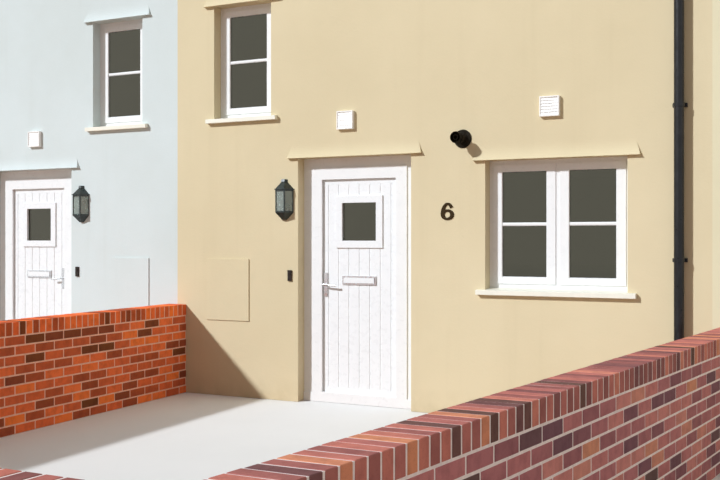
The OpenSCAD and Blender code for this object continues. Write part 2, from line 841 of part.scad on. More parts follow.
party_walls();
left_wall() front_stair_side();  // left_front_wall_stair_side
left_wall() front_over_door();  // left_front_wall_over_door
left_wall() front_window_side();  // left_front_wall_window_side
middle_wall() front_stair_side();  // middle_front_wall_stair_side
middle_wall() front_over_door();  // middle_front_wall_over_door
middle_wall() front_window_side();  // middle_front_wall_window_side
color("ivory") at_front(1) whole_front();  // right_front_wall
color("lightblue") from_rear() at_house(-1) rear_wall();  // left_rear_wall
color("wheat") from_rear() at_house(0) rear_wall();  // middle_rear_wall
color("ivory") from_rear() at_house(1) rear_wall();  // right_rear_wall
ground_floors();
first_floors();
ceilings();
roof_front_slope();
roof_rear_slope();
ridge_capping();
eaves_boards();
gutters();
downpipes();
bell_cast_drips();
window_sills();
window_frames();
window_sashes();
window_glass();
front_door_frames();
for (i = [0 : 2]) {
    color("white") at_front(houses[i]) door_leaf();
    color("gray") at_front(houses[i]) door_glass();
    color("silver")
        at_front(houses[i]) door_furniture();
}
front_door_hinges();
rear_doors();
wall_lanterns();
lantern_glass();
meter_box_covers();
wall_vents();
flue_terminals();
bell_pushes();
garden_walls();
garden_wall_copings();
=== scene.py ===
"""Dresses the row of three terraced houses: bricks, tiles, joinery trim and finishes."""

import math

import bmesh
import bpy
from bpy.props import FloatProperty, FloatVectorProperty, IntProperty, PointerProperty
from mathutils import Matrix, Vector


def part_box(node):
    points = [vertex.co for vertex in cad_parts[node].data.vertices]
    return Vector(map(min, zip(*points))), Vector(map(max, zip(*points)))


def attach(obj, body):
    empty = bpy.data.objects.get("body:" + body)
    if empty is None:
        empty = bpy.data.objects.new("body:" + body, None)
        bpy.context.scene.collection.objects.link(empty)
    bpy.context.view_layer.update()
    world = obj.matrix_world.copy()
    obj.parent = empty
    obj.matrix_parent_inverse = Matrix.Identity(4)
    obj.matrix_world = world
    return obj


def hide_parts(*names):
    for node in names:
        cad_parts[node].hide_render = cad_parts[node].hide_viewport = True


bl_info = {
    "name": "Terraced House Row",
    "version": (1, 0, 0),
    "blender": (4, 5, 0),
    "location": "View3D > Sidebar > House Row",
    "description": "Bricks, tiles, joinery trim and finishes for a row of three terraced houses",
    "category": "Object",
}

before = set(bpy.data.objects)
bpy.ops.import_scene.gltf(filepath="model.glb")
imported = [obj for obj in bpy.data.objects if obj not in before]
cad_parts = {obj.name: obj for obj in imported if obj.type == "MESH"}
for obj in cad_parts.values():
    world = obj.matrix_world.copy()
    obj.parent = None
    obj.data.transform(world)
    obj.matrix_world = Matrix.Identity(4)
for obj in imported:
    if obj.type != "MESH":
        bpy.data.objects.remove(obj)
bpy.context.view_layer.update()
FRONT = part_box("right_front_wall")[0].y
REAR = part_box("right_rear_wall")[1].y
PARTY_LINES = (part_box("middle_front_wall_stair_side")[0].x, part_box("middle_front_wall_window_side")[1].x)
ROW_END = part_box("party_walls")[1].x
HOUSES = ("left", "middle", "right")
DOOR_BODY = {"left": "left_door", "middle": "middle_door", "right": "row"}
COAT = {"left": "blue_render", "middle": "buff_render", "right": "cream_render"}
FINISHES = {}

# Distances from a wall's face to its window frames and to its inner face
FRAME_DEPTH = 0.14
WALL_DEPTH = 0.29

# Between these X values the painted bounce light on the garden walls turns from the left wall's tint to the
# right one's
PAINTED_BOUNCE_TURN = (-2.0, 2.0)

# Middle and foot of the house number, as X and Z
NUMERAL_PLACE = (0.353, 1.666)

# Across a pantile: share of its cover and share of its roll's height
PANTILE = ((0, 0.62), (0.06, 0.34), (0.17, 0.07), (0.31, 0), (0.45, 0.06), (0.58, 0.28), (0.69, 0.62),
           (0.80, 0.90), (0.90, 1.0), (1.01, 0.88), (1.10, 0.56))

# The camera and the directions that the light comes from
CAMERA_PLACE = (3.762, -12.339, 1.495)
CAMERA_TURN = 27.6
CAMERA_LENS = 51.3
KEY_FROM = (-0.75, -1.0, 0.764)
FILL_FROM = (1.0, 0.05, 0.45)


def tone(red, green, blue):
    """A colour from its eight-bit values on a screen, as the linear one that shaders take."""
    return tuple((c / 12.92 if c <= 0.04045 else ((c + 0.055) / 1.055) ** 2.4)
                 for c in (red / 255, green / 255, blue / 255))


def size(name, description, default, low, high):
    """A length in metres that a user can set."""
    return FloatProperty(name=name, description=description, default=default, min=low, max=high,
                         precision=4, unit="LENGTH", subtype="DISTANCE")


def count(name, description, default, low, high):
    """A number of pieces that a user can set."""
    return IntProperty(name=name, description=description, default=default, min=low, max=high)


def colour(name, description, *screen):
    """A colour that a user can set, from its values on a screen."""
    return FloatVectorProperty(name=name, description=description, size=3, subtype="COLOR",
                               min=0, max=1, default=tone(*screen))


class RowSizes(bpy.types.PropertyGroup):
    """Sizes of the pieces that repeat."""

    brick_length: size("Brick length", "Length of a brick", 0.215, 0.19, 0.24)
    brick_width: size("Brick width", "Width of a brick", 0.1025, 0.09, 0.12)
    brick_height: size("Brick height", "Height of a brick", 0.0655, 0.05, 0.07)
    joint: size("Joint", "Thickness of the mortar joints", 0.010, 0.006, 0.014)
    joint_depth: size("Joint depth", "How far the mortar lies behind the bricks", 0.002, 0.001, 0.008)
    set_in: size("Set in", "How far the bricks lie inside the faces of the wall", 0.001, 0.0005, 0.003)
    arris: size("Arris", "Worn edge of a brick", 0.003, 0.001, 0.006)
    courses: count("Courses", "Courses under the coping", 10, 6, 14)
    tile_columns: count("Tile columns", "Pantiles along the row", 50, 40, 60)
    tile_courses: count("Tile courses", "Pantiles up a slope", 18, 14, 22)
    tile_length: size("Tile length", "Length of a pantile", 0.400, 0.3, 0.45)
    tile_thickness: size("Tile thickness", "Thickness of a pantile", 0.012, 0.009, 0.016)
    tile_wave: size("Tile wave", "Height of a pantile's roll above its pan", 0.038, 0.02, 0.05)
    tile_lap_lift: size("Lap lift", "Rise from one course of pantiles to the next", 0.014, 0.012, 0.02)
    tile_gauge: size("Tile gauge", "Length of a pantile that is left bare", 0.312, 0.25, 0.35)
    first_course: size("First course", "From the eaves up to the first pantiles", 0.0147, 0.01, 0.03)
    deck: size("Deck", "Thickness of rafters, felt and battens under the pantiles", 0.078, 0.06, 0.1)
    verge_width: size("Verge bedding", "Width of the mortar at the verges", 0.045, 0.03, 0.06)
    verge_height: size("Verge height", "Height of the mortar at the verges", 0.036, 0.02, 0.04)
    comb_height: size("Eaves comb", "Height of the comb under the first pantiles", 0.045, 0.03, 0.05)
    ridge_thickness: size("Ridge thickness", "Thickness of a ridge tile", 0.014, 0.01, 0.02)
    ridge_tiles: count("Ridge tiles", "Ridge tiles along the row", 34, 25, 45)
    bar_height: size("Glazing bar", "Height of a glazing bar", 0.028, 0.015, 0.035)
    bar_nose: size("Bar nose", "How far a glazing bar stands before the sash", 0.006, 0.002, 0.01)
    bead: size("Bead", "Width of the glazing beads", 0.004, 0.002, 0.012)
    bead_step: size("Bead step", "Step from the sash to the bead and from the bead's edge to the pane",
                    0.003, 0.001, 0.006)
    seal: size("Seal", "Width of the rubber seal that shows beside a bead", 0.003, 0.001, 0.006)
    soft_edge: size("Soft edge", "Rounding of painted edges", 0.0015, 0.0005, 0.003)
    vent_slats: count("Vent slats", "Slats in a wall vent", 6, 3, 9)
    numeral_height: size("Numeral height", "Height of the house number", 0.148, 0.1, 0.25)
    numeral_relief: size("Numeral relief", "How far the house number stands out", 0.008, 0.004, 0.02)
    flue_pipe: size("Flue pipe", "Radius of a flue's pipe", 0.036, 0.03, 0.04)
    flue_head: size("Flue head", "Radius of a flue's open head", 0.047, 0.04, 0.05)
    flue_inner: size("Flue inner pipe", "Radius of the pipe in a flue's mouth", 0.022, 0.015, 0.03)
    vent_rim: size("Vent rim", "Width of a wall vent's rim", 0.011, 0.006, 0.02)
    vent_lap: size("Vent lap", "How far a vent's slats lap each other", 0.006, 0.003, 0.01)


class RowColours(bpy.types.PropertyGroup):
    """Colours of the finishes."""

    blue_coat: colour("Blue coat", "Render of the left house", 219, 229, 229)
    buff_coat: colour("Buff coat", "Render of the middle house", 227, 213, 178)
    cream_coat: colour("Cream coat", "Render of the right house", 231, 223, 191)
    brick: colour("Brick", "Middle shade of the bricks", 208, 120, 98)
    coping: colour("Coping", "Middle shade of the coping bricks", 210, 116, 86)
    mortar: colour("Mortar", "Mortar of the garden walls", 250, 236, 232)
    pantile: colour("Pantile", "Middle shade of the roof tiles", 172, 92, 64)
    joinery: colour("Joinery", "Window frames, door frames and boards", 242, 244, 244)
    sill: colour("Sill", "Window sills", 243, 241, 226)
    door: colour("Door", "Front doors of the left and middle houses", 243, 246, 247)
    black: colour("Black", "Rainwater goods and bell pushes", 21, 21, 23)
    lantern: colour("Lantern", "Wall lanterns", 27, 38, 36)
    numeral: colour("Numeral", "House number", 58, 44, 24)
    # The panes' dark tint is painted shade of the dim rooms behind them
    glass: colour("Glass", "Tint of the panes", 100, 104, 92)


# Nodes

class Bench:
    """Puts the nodes of a tree together, a step at a time."""

    def __init__(self, tree):
        self.tree = tree

    def feed(self, socket, value):
        """Links a node or socket to a socket, or sets a plain value on it."""
        if isinstance(value, bpy.types.Node):
            value = value.outputs[0]
        if isinstance(value, bpy.types.NodeSocket):
            self.tree.links.new(value, socket)
        else:
            socket.default_value = value

    def add(self, kind, feeds=None, **settings):
        """A new node with its settings and what feeds its sockets."""
        node = self.tree.nodes.new(kind)
        for name, value in settings.items():
            setattr(node, name, value)
        for key, value in (feeds or {}).items():
            self.feed(node.inputs[key], value)
        return node

    def math(self, operation, *values):
        """A sum of up to three values, by the name that Blender has for it."""
        return self.add("ShaderNodeMath", dict(enumerate(values)), operation=operation)

    def vector(self, x=0.0, y=0.0, z=0.0):
        """A vector from three values."""
        return self.add("ShaderNodeCombineXYZ", {0: x, 1: y, 2: z})


class Finish(Bench):
    """A finish whose pattern is measured in metres in the row's own frame."""

    def __init__(self, name, roughness=0.5, specular=0.5, metallic=0.0):
        self.material = bpy.data.materials.new(name)
        self.material.use_nodes = True
        super().__init__(self.material.node_tree)
        self.shader = self.tree.nodes["Principled BSDF"]
        self.shader.inputs["Roughness"].default_value = roughness
        self.shader.inputs["Specular IOR Level"].default_value = specular
        self.shader.inputs["Metallic"].default_value = metallic
        self.place = self.add("ShaderNodeTexCoord").outputs["Object"]
        self.axes = self.add("ShaderNodeSeparateXYZ", {0: self.place}).outputs

    def noise(self, scale, detail=3.0, stretch=None, roughness=0.55):
        """Noise of a scale per metre, drawn out along an axis where stretch is below one."""
        place = self.place
        if stretch:
            place = self.add("ShaderNodeMapping", {"Vector": place, "Scale": stretch})
        return self.add("ShaderNodeTexNoise", {
            "Vector": place, "Scale": scale, "Detail": detail, "Roughness": roughness}).outputs[0]

    def ramp(self, factor, *stops):
        """A colour ramp from pairs of position and colour."""
        node = self.add("ShaderNodeValToRGB", {0: factor})
        marks = node.color_ramp.elements
        while len(marks) < len(stops):
            marks.new(0.5)
        for mark, (position, shade) in zip(marks, stops):
            mark.position = position
            mark.color = (*shade, 1.0)
        return node.outputs[0]

    def blend(self, factor, first, second, how="MIX"):
        """Two colours mixed by a factor."""
        node = self.add("ShaderNodeMix", data_type="RGBA", blend_type=how)
        for index, value in ((0, factor), (6, first), (7, second)):
            if isinstance(value, tuple) and len(value) == 3:
                value = (*value, 1.0)
            self.feed(node.inputs[index], value)
        return node.outputs[2]

    def between(self, value, low, high):
        """Zero below one value, one above the other, and even in between."""
        return self.add("ShaderNodeMapRange", {0: value, 1: low, 2: high}).outputs[0]

    def patches(self, scale, detail, low, high, stretch=None):
        """Noise that is nothing below one level and full above the other."""
        return self.between(self.noise(scale, detail, stretch), low, high)

    def tinted(self, value, tint):
        """A colour times another one."""
        return self.blend(1.0, value, tint, "MULTIPLY")

    def stained(self, spread, strength, value, tint):
        """A colour with a tint laid over it where the spread says."""
        return self.blend(self.math("MULTIPLY", spread, strength), value, self.tinted(value, tint))

    def grained(self, grain, value, tint):
        """A colour that is tinted in the low places of a grain."""
        return self.blend(self.between(grain, 0.3, 0.7), self.tinted(value, tint), value)

    def coursed(self, across, up, tones, joint, blur, length, height):
        """Blocks or boards in half bond, in two tones and with joints of a third."""
        first, second, gap = ((*tone(*screen), 1) for screen in tones)
        return self.add("ShaderNodeTexBrick", {
            "Vector": self.vector(self.axes[across], self.axes[up]), "Color1": first, "Color2": second,
            "Mortar": gap, "Scale": 1.0, "Mortar Size": joint, "Mortar Smooth": blur, "Bias": 0.0,
            "Brick Width": length, "Row Height": height}).outputs

    def fired(self, middle, *stops):
        """Colours by each piece's own shade, from positions and factors for a middle colour."""
        shade = self.add("ShaderNodeAttribute", attribute_name="shade", attribute_type="GEOMETRY")
        return self.ramp(shade.outputs["Fac"], *((position, tuple(c * k for c, k in zip(middle, factors)))
                                                 for position, *factors in stops))

    def painted_bounce_by_side(self, left, right):
        """One colour at the left garden wall and another at the right one, as painted bounce light."""
        return self.blend(self.between(self.axes["X"], *PAINTED_BOUNCE_TURN), left, right)

    def bump(self, *layers):
        """Relief from pairs of height and depth in metres, one on the other."""
        normal = None
        for height, depth in layers:
            node = self.add("ShaderNodeBump", {"Height": height, "Distance": depth, "Strength": 1.0})
            if normal:
                self.feed(node.inputs["Normal"], normal)
            normal = node.outputs[0]
        self.feed(self.shader.inputs["Normal"], normal)

    def colour(self, value):
        """Sets the finish's colour, or the pattern that makes it."""
        if isinstance(value, tuple):
            value = (*value, 1.0)
        self.feed(self.shader.inputs["Base Color"], value)

    def rough(self, low, high, scale, detail=3.0):
        """Roughness that wanders between two values."""
        node = self.add("ShaderNodeMapRange", {0: self.noise(scale, detail), 1: 0.3, 2: 0.7, 3: low, 4: high})
        self.feed(self.shader.inputs["Roughness"], node.outputs[0])


def scaled(shade, factor):
    """A lighter or darker tone of a colour, kept within white."""
    return tuple(min(1.0, c * factor) for c in shade)


def smooth_coat(name, shade):
    """Sand-finished render with clouds, rain marks and a splashed foot, and plaster behind the frames."""
    f = Finish(name, 0.9, 0.15)
    paint = shade(f) if callable(shade) else shade
    paint = f.blend(f.patches(0.9, 4, 0.35, 0.65), f.tinted(paint, (0.945, 0.94, 0.925)), paint)
    paint = f.stained(f.patches(5.0, 3, 0.56, 0.75, (1.0, 1.0, 0.06)), 0.24, paint, (0.86, 0.85, 0.81))
    splash = f.math("MULTIPLY", f.between(f.axes["Z"], 0.22, 0.0), f.patches(7.0, 4, 0.3, 0.7))
    paint = f.stained(splash, 0.5, paint, (0.72, 0.70, 0.62))
    behind_frames = f.math("LESS_THAN", f.math("ABSOLUTE", f.axes["Y"]), REAR - FRAME_DEPTH)
    paint = f.blend(behind_frames, paint, tone(236, 233, 226))
    grain = f.noise(420.0, 2)
    f.colour(f.grained(grain, paint, (0.95, 0.95, 0.94)))
    f.bump((f.noise(3.5, 2), 0.004), (f.noise(45.0, 3), 0.0012), (grain, 0.0006))
    return f.material


def coat_by_house(colours):
    """The render's colour by the house that a piece is on."""
    def pick(f):
        left_line, right_line = PARTY_LINES
        not_left = f.math("GREATER_THAN", f.axes["X"], left_line)
        right = f.math("GREATER_THAN", f.axes["X"], right_line)
        first = f.blend(not_left, tuple(colours.blue_coat), tuple(colours.buff_coat))
        return f.blend(right, first, tuple(colours.cream_coat))
    return pick


def brick_finish(name, middle):
    """Wire-cut facing bricks, each with its own shade, with painted warm bounce light on the left garden wall
    and painted cool skylight on the right one.
    """
    f = Finish(name, 0.88, 0.2)
    mixed = f.fired(middle, (0.0, 0.24, 0.36, 0.34), (0.09, 0.36, 0.42, 0.55), (0.24, 0.60, 0.60, 0.68),
                    (0.50, 0.90, 0.88, 0.95), (0.74, 1.08, 1.04, 1.00), (0.90, 1.20, 1.28, 1.15),
                    (1.0, 1.25, 1.40, 0.90))
    # Painted light: warm bounce on the left garden wall and cool skylight on the right one
    mixed = f.tinted(mixed, f.painted_bounce_by_side((1.34, 0.94, 0.47), (0.91, 1.19, 1.75)))
    mixed = f.stained(f.patches(14.0, 4, 0.42, 0.68), 0.45, mixed, (0.55, 0.5, 0.55))
    f.colour(f.stained(f.patches(260.0, 2, 0.6, 0.72), 0.5, mixed, (0.5, 0.5, 0.5)))
    f.bump((f.noise(60.0, 3, (1.0, 1.0, 0.35)), 0.0022), (f.noise(300.0, 2), 0.0008))
    return f.material


def mortar_finish(name, shade, left=(1.0, 1.0, 1.0)):
    """Sandy mortar, with painted warm bounce light at the left garden wall."""
    f = Finish(name, 0.95, 0.1)
    mixed = f.blend(f.patches(30.0, 4, 0.3, 0.7), scaled(shade, 0.88), scaled(shade, 1.06))
    # The left tint is painted warm bounce light
    f.colour(f.tinted(mixed, f.painted_bounce_by_side(left, (1.0, 1.0, 1.0))))
    f.bump((f.noise(220.0, 3), 0.0010))
    return f.material


def clay_finish(name, middle):
    """Clay roof tiles, each fired a little differently, with faint weathering."""
    f = Finish(name, 0.78, 0.3)
    mixed = f.fired(middle, (0.0, 0.62, 0.66, 0.75), (0.3, 0.88, 0.86, 0.9), (0.7, 1.08, 1.05, 1.0),
                    (1.0, 1.25, 1.3, 1.15))
    weather = f.patches(2.2, 5, 0.45, 0.75)
    mixed = f.blend(f.math("MULTIPLY", weather, 0.35), mixed, (0.13, 0.115, 0.10))
    f.colour(f.grained(f.noise(120.0, 3), mixed, (0.86, 0.86, 0.86)))
    f.bump((f.noise(90.0, 4), 0.0008))
    return f.material


def painted_finish(name, shade, roughness=0.32, soiling=0.05, gloss=0.45):
    """Smooth paint or plastic with a slight ripple and a trace of dust."""
    f = Finish(name, roughness, gloss)
    f.colour(f.blend(f.patches(9.0, 5, 0.4, 0.75), shade, scaled(shade, 1.0 - soiling)))
    f.rough(roughness * 0.85, roughness * 1.25, 24.0)
    f.bump((f.noise(55.0, 2), 0.00025))
    return f.material


def black_finish(name, shade, roughness=0.35, gloss=0.5):
    """Dark plastic or metal with a little dust."""
    f = Finish(name, roughness, gloss)
    f.colour(f.blend(f.patches(12.0, 5, 0.45, 0.8), shade, tuple(c * 1.5 + 0.006 for c in shade)))
    f.rough(roughness * 0.8, roughness * 1.4, 30.0)
    f.bump((f.noise(160.0, 2), 0.0002))
    return f.material


def steel_finish(name):
    """Brushed and lacquered steel."""
    f = Finish(name, 0.24, 0.5, 1.0)
    hair = f.noise(350.0, 2, (0.08, 1.0, 1.0))
    f.colour(f.blend(f.between(hair, 0.3, 0.7), (0.60, 0.60, 0.61), (0.74, 0.74, 0.75)))
    f.rough(0.18, 0.32, 40.0)
    f.bump((hair, 0.00005))
    return f.material


def glass_finish(name, tint, roughness=0.02, clear=1.0, index=1.5):
    """Tinted glass with faint smears, opal where it is less than clear."""
    f = Finish(name, roughness, 0.5)
    f.shader.inputs["Transmission Weight"].default_value = clear
    f.shader.inputs["IOR"].default_value = index
    # The warm specular tint is a painted reflection colour: it warms the white backdrop's reflections in the
    # panes
    f.shader.inputs["Specular Tint"].default_value = (1.0, 0.96, 0.76, 1.0)
    f.colour(f.blend(f.patches(3.0, 5, 0.4, 0.7), tint, scaled(tint, 1.12)))
    f.rough(roughness * 0.5, roughness * 2.0, 6.0)
    return f.material


def plaster_finish(name, shade):
    """Painted plaster with faint clouds."""
    f = Finish(name, 0.85, 0.2)
    f.colour(f.blend(f.patches(1.5, 3, 0.35, 0.65), scaled(shade, 0.96), shade))
    f.bump((f.noise(30.0, 3), 0.0006))
    return f.material


def block_finish(name):
    """Concrete blocks in half bond, as they show at the ends of the row."""
    f = Finish(name, 0.93, 0.15)
    blocks = f.coursed("Y", "Z", ((172, 169, 162), (146, 144, 138), (186, 180, 168)), 0.005, 0.1, 0.45, 0.225)
    grit = f.noise(140.0, 3)
    stain = f.math("MULTIPLY", f.patches(1.1, 5, 0.45, 0.75), 0.3)
    f.colour(f.grained(grit, f.blend(stain, blocks["Color"], tone(120, 116, 106)), (0.84, 0.84, 0.84)))
    f.bump((f.math("SUBTRACT", 1.0, blocks["Fac"]), 0.004), (grit, 0.0014))
    return f.material


def board_finish(name):
    """Softwood floor boards across the rooms."""
    f = Finish(name, 0.5, 0.35)
    boards = f.coursed("X", "Y", ((176, 138, 96), (150, 112, 74), (60, 42, 28)), 0.0015, 0.2, 2.4, 0.14)
    grain = f.noise(16.0, 4, (1.0, 14.0, 14.0))
    f.colour(f.grained(grain, boards["Color"], (0.78, 0.74, 0.7)))
    f.bump((grain, 0.0005))
    return f.material


# Meshes

def skin(bm, rings, closed=False):
    """Faces between rings of points, and over both end rings unless the last one meets the first."""
    if not closed:
        bm.faces.new(rings[0][::-1])
        bm.faces.new(rings[-1])
    for a, b in zip(rings, rings[1:] + (rings[:1] if closed else [])):
        for i in range(len(a)):
            j = (i + 1) % len(a)
            bm.faces.new((a[i], a[j], b[j], b[i]))


def add_prism(bm, outline, shift):
    """A closed prism: a flat outline of points, pushed along a vector."""
    skin(bm, [[bm.verts.new(Vector(p) + Vector(s)) for p in outline] for s in ((0, 0, 0), shift)])


def add_box(bm, low, high):
    """A closed box from its lowest to its highest corner."""
    (x0, y0, z0), (x1, y1, z1) = low, high
    add_prism(bm, [(x0, y0, z0), (x1, y0, z0), (x1, y1, z0), (x0, y1, z0)], (0, 0, z1 - z0))


def add_frame(bm, x0, x1, z0, z1, profile):
    """A mitred frame in an upright plane, from a closed profile of insets and depths."""
    loops = [[bm.verts.new(p) for p in ((x0 + i, y, z0 + i), (x1 - i, y, z0 + i), (x1 - i, y, z1 - i),
                                        (x0 + i, y, z1 - i))] for i, y in profile]
    skin(bm, loops, closed=True)


def put(name, mesh):
    """An object at the origin that shows a mesh."""
    piece = bpy.data.objects.new(name, mesh)
    bpy.context.scene.collection.objects.link(piece)
    return piece


def close(name, bm, finish=None):
    """An object at the origin from a mesh under construction, with its faces turned outwards."""
    bmesh.ops.recalc_face_normals(bm, faces=bm.faces)
    mesh = bpy.data.meshes.new(name)
    bm.to_mesh(mesh)
    bm.free()
    if finish:
        mesh.materials.append(finish)
    return put(name, mesh)


def join(name, meshes):
    """One piece from several meshes, with their attributes."""
    parts = [put(f"{name}_part_{i}", mesh) for i, mesh in enumerate(meshes)]
    with bpy.context.temp_override(active_object=parts[0], object=parts[0], selected_objects=parts,
                                   selected_editable_objects=parts):
        bpy.ops.object.join()
    parts[0].name = name
    return parts[0]


def hand_over(piece, body, slot, *nodes):
    """Puts a finished piece on its body, and in the place of the nodes that it stands for."""
    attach(piece, body)
    if nodes:
        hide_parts(*nodes)


def add_piece(name, bm, finish, slot, *nodes):
    """Hands over a piece of the row itself, from a mesh under construction."""
    hand_over(close(name, bm, finish), "row", slot, *nodes)


def add_prisms(name, outlines, shift, finish, slot, node):
    """Hands over a piece of closed prisms that are all pushed along the same vector."""
    bm = bmesh.new()
    for outline in outlines:
        add_prism(bm, outline, shift)
    add_piece(name, bm, finish, slot, node)


def merged(node):
    """A CAD node's triangles as a mesh under construction, joined at their corners."""
    bm = bmesh.new()
    bm.from_mesh(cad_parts[node].data)
    bmesh.ops.remove_doubles(bm, verts=bm.verts, dist=1e-5)
    return bm


def dress(node, finish, *picked):
    """Gives a CAD node its finish, and other ones to the faces that tests of place and direction pick."""
    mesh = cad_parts[node].data
    mesh.materials.clear()
    for material in (finish, *(other for other, _ in picked)):
        mesh.materials.append(material)
    for face in mesh.polygons:
        tests = [i for i, (_, test) in enumerate(picked, 1) if test(face.center, face.normal)]
        face.material_index = tests[0] if tests else 0


# Geometry Nodes

def start_tree(name, sockets):
    """A new tree with its named inputs, a bench to build it on, and the outputs that carry the inputs."""
    tree = bpy.data.node_groups.new(name, "GeometryNodeTree")
    tree.interface.new_socket("Geometry", in_out="OUTPUT", socket_type="NodeSocketGeometry")
    for label, kind in sockets:
        tree.interface.new_socket(label, in_out="INPUT", socket_type=f"NodeSocket{kind}")
    bench = Bench(tree)
    return tree, bench, bench.add("NodeGroupInput").outputs


def set_out(bench, given, points, turn, stretch):
    """Sets the tool on the points, each with its own shade, as real faces in the finish."""
    shade = bench.add("FunctionNodeRandomValue", {"Seed": given["Seed"]}, data_type="FLOAT")
    shaded = bench.add("GeometryNodeStoreNamedAttribute", {
        "Geometry": points, "Name": "shade", "Value": shade.outputs[1]}, data_type="FLOAT", domain="POINT")
    tilt = bench.add("FunctionNodeRandomValue", {
        "Seed": bench.math("ADD", given["Seed"], 7), 0: (-turn,) * 3, 1: (turn,) * 3},
        data_type="FLOAT_VECTOR")
    tool = bench.add("GeometryNodeObjectInfo", {"Object": given["Tool"]}).outputs["Geometry"]
    placed = bench.add("GeometryNodeInstanceOnPoints", {
        "Points": shaded, "Instance": tool, "Rotation": tilt.outputs[0], "Scale": stretch})
    real = bench.add("GeometryNodeRealizeInstances", {0: placed})
    finished = bench.add("GeometryNodeSetMaterial", {"Geometry": real, "Material": given["Finish"]})
    bench.feed(bench.add("NodeGroupOutput").inputs[0], finished)


def bond_tree():
    """Courses of bricks along a run, with every other course set back and the last brick cut to fit."""
    tree, b, given = start_tree("Stretcher bond", (
        ("Length", "Float"), ("Courses", "Int"), ("Gauge", "Float"), ("Brick Length", "Float"),
        ("Joint", "Float"), ("Even Start", "Float"), ("Odd Start", "Float"), ("Seed", "Int"),
        ("Tool", "Object"), ("Finish", "Material")))
    pitch = b.math("ADD", given["Brick Length"], given["Joint"])
    columns = b.math("ADD", b.math("CEIL", b.math("DIVIDE", given["Length"], pitch)), 1)
    index = b.add("GeometryNodeInputIndex")
    course = b.math("FLOOR", b.math("DIVIDE", index, columns))
    column = b.math("SUBTRACT", index, b.math("MULTIPLY", course, columns))
    odd = b.math("FLOORED_MODULO", course, 2)
    step = b.math("SUBTRACT", given["Odd Start"], given["Even Start"])
    first = b.math("MULTIPLY_ADD", odd, step, given["Even Start"])
    start = b.math("ADD", first, b.math("MULTIPLY", column, pitch))
    end = b.math("MINIMUM", b.math("ADD", start, given["Brick Length"]), given["Length"])
    middle = b.math("MULTIPLY", b.math("ADD", start, end), 0.5)
    points = b.add("GeometryNodePoints", {
        "Count": b.math("MULTIPLY", columns, given["Courses"]),
        "Position": b.vector(middle, 0.0, b.math("MULTIPLY", course, given["Gauge"]))})
    cut = b.math("DIVIDE", b.math("SUBTRACT", end, start), given["Brick Length"])
    measured = b.add("GeometryNodeStoreNamedAttribute", {"Geometry": points, "Name": "cut", "Value": cut},
                     data_type="FLOAT", domain="POINT")
    share = b.add("GeometryNodeInputNamedAttribute", {"Name": "cut"}, data_type="FLOAT").outputs[0]
    splinter = b.add("FunctionNodeCompare", {0: share, 1: 0.12}, operation="LESS_THAN")
    kept = b.add("GeometryNodeDeleteGeometry", {"Geometry": measured, "Selection": splinter}, domain="POINT")
    set_out(b, given, kept, turn=0.004, stretch=b.vector(share, 1.0, 1.0))
    return tree


def field_tree():
    """Rows and columns of one tile, each a little out of true."""
    tree, b, given = start_tree("Tile field", (
        ("Columns", "Int"), ("Rows", "Int"), ("Column Pitch", "Float"), ("Row Pitch", "Float"),
        ("Seed", "Int"), ("Tool", "Object"), ("Finish", "Material")))
    index = b.add("GeometryNodeInputIndex")
    row = b.math("FLOOR", b.math("DIVIDE", index, given["Columns"]))
    column = b.math("SUBTRACT", index, b.math("MULTIPLY", row, given["Columns"]))
    points = b.add("GeometryNodePoints", {
        "Count": b.math("MULTIPLY", given["Columns"], given["Rows"]),
        "Position": b.vector(b.math("MULTIPLY", column, given["Column Pitch"]),
                             b.math("MULTIPLY", row, given["Row Pitch"]))})
    set_out(b, given, points, turn=0.002, stretch=b.vector(1.0, 1.0, 1.0))
    return tree


def grow(tree, tool, **given):
    """Runs a tree and gives its result as a plain mesh."""
    host = put("host", bpy.data.meshes.new("host"))
    modifier = host.modifiers.new("Set out", "NODES")
    modifier.node_group = tree
    given["Tool"] = tool
    for item in tree.interface.items_tree:
        if item.in_out == "INPUT":
            modifier[item.identifier] = given[item.name.replace(" ", "_")]
    graph = bpy.context.evaluated_depsgraph_get()
    mesh = bpy.data.meshes.new_from_object(host.evaluated_get(graph), preserve_all_data_layers=True,
                                           depsgraph=graph)
    bpy.data.objects.remove(host)
    return mesh


def along(origin, run, across, up=(0, 0, 1)):
    """The matrix that carries a piece laid along x into its place."""
    m = Matrix.Identity(4)
    for i, axis in enumerate((run, across, up)):
        m.col[i].xyz = axis
    m.col[3].xyz = origin
    return m


# Garden walls

def wall_plans():
    """Plan corners of the garden walls: outer and inner points at the house, the corner and the gap."""
    ground = 0.01
    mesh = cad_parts["garden_walls"].data
    points = {(round(v.co.x, 4), round(v.co.y, 4)) for v in mesh.vertices if v.co.z < ground}
    rows = sorted({y for _, y in points})
    xs = [sorted(x for x, y in points if y == row) for row in rows]
    plans = []
    for left in (True, False):
        pairs = []
        for row, found in zip(rows, xs):
            own = found[:2] if left else found[:-3:-1]
            pairs.append([(x, row) for x in own])
        (corner_out, gap_out), (corner_in, gap_in), (house_out, house_in) = pairs
        plans.append([Vector(p) for p in (house_out, corner_out, gap_out, gap_in, corner_in, house_in)])
    return plans


def inset(points, depth):
    """A plan outline with every side moved inwards."""
    area = sum(a.x * b.y - b.x * a.y for a, b in zip(points, points[1:] + points[:1]))
    turn = depth if area > 0 else -depth
    moved = []
    for before, here, after in zip(points[-1:] + points[:-1], points, points[1:] + points[:1]):
        a, b = (here - before).normalized(), (after - here).normalized()
        na, nb = Vector((-a.y, a.x)) * turn, Vector((-b.y, b.x)) * turn
        moved.append(here + (na + nb) * (depth * depth / (depth * depth + na.dot(nb))))
    return moved


def make_brick(length, width, height, arris):
    """A brick from its near lower edge, with worn arrises."""
    bm = bmesh.new()
    add_box(bm, (-length / 2, 0, 0), (length / 2, width, height))
    bmesh.ops.bevel(bm, geom=bm.edges[:], offset=arris, segments=1, affect="EDGES")
    return close("tool_brick", bm)


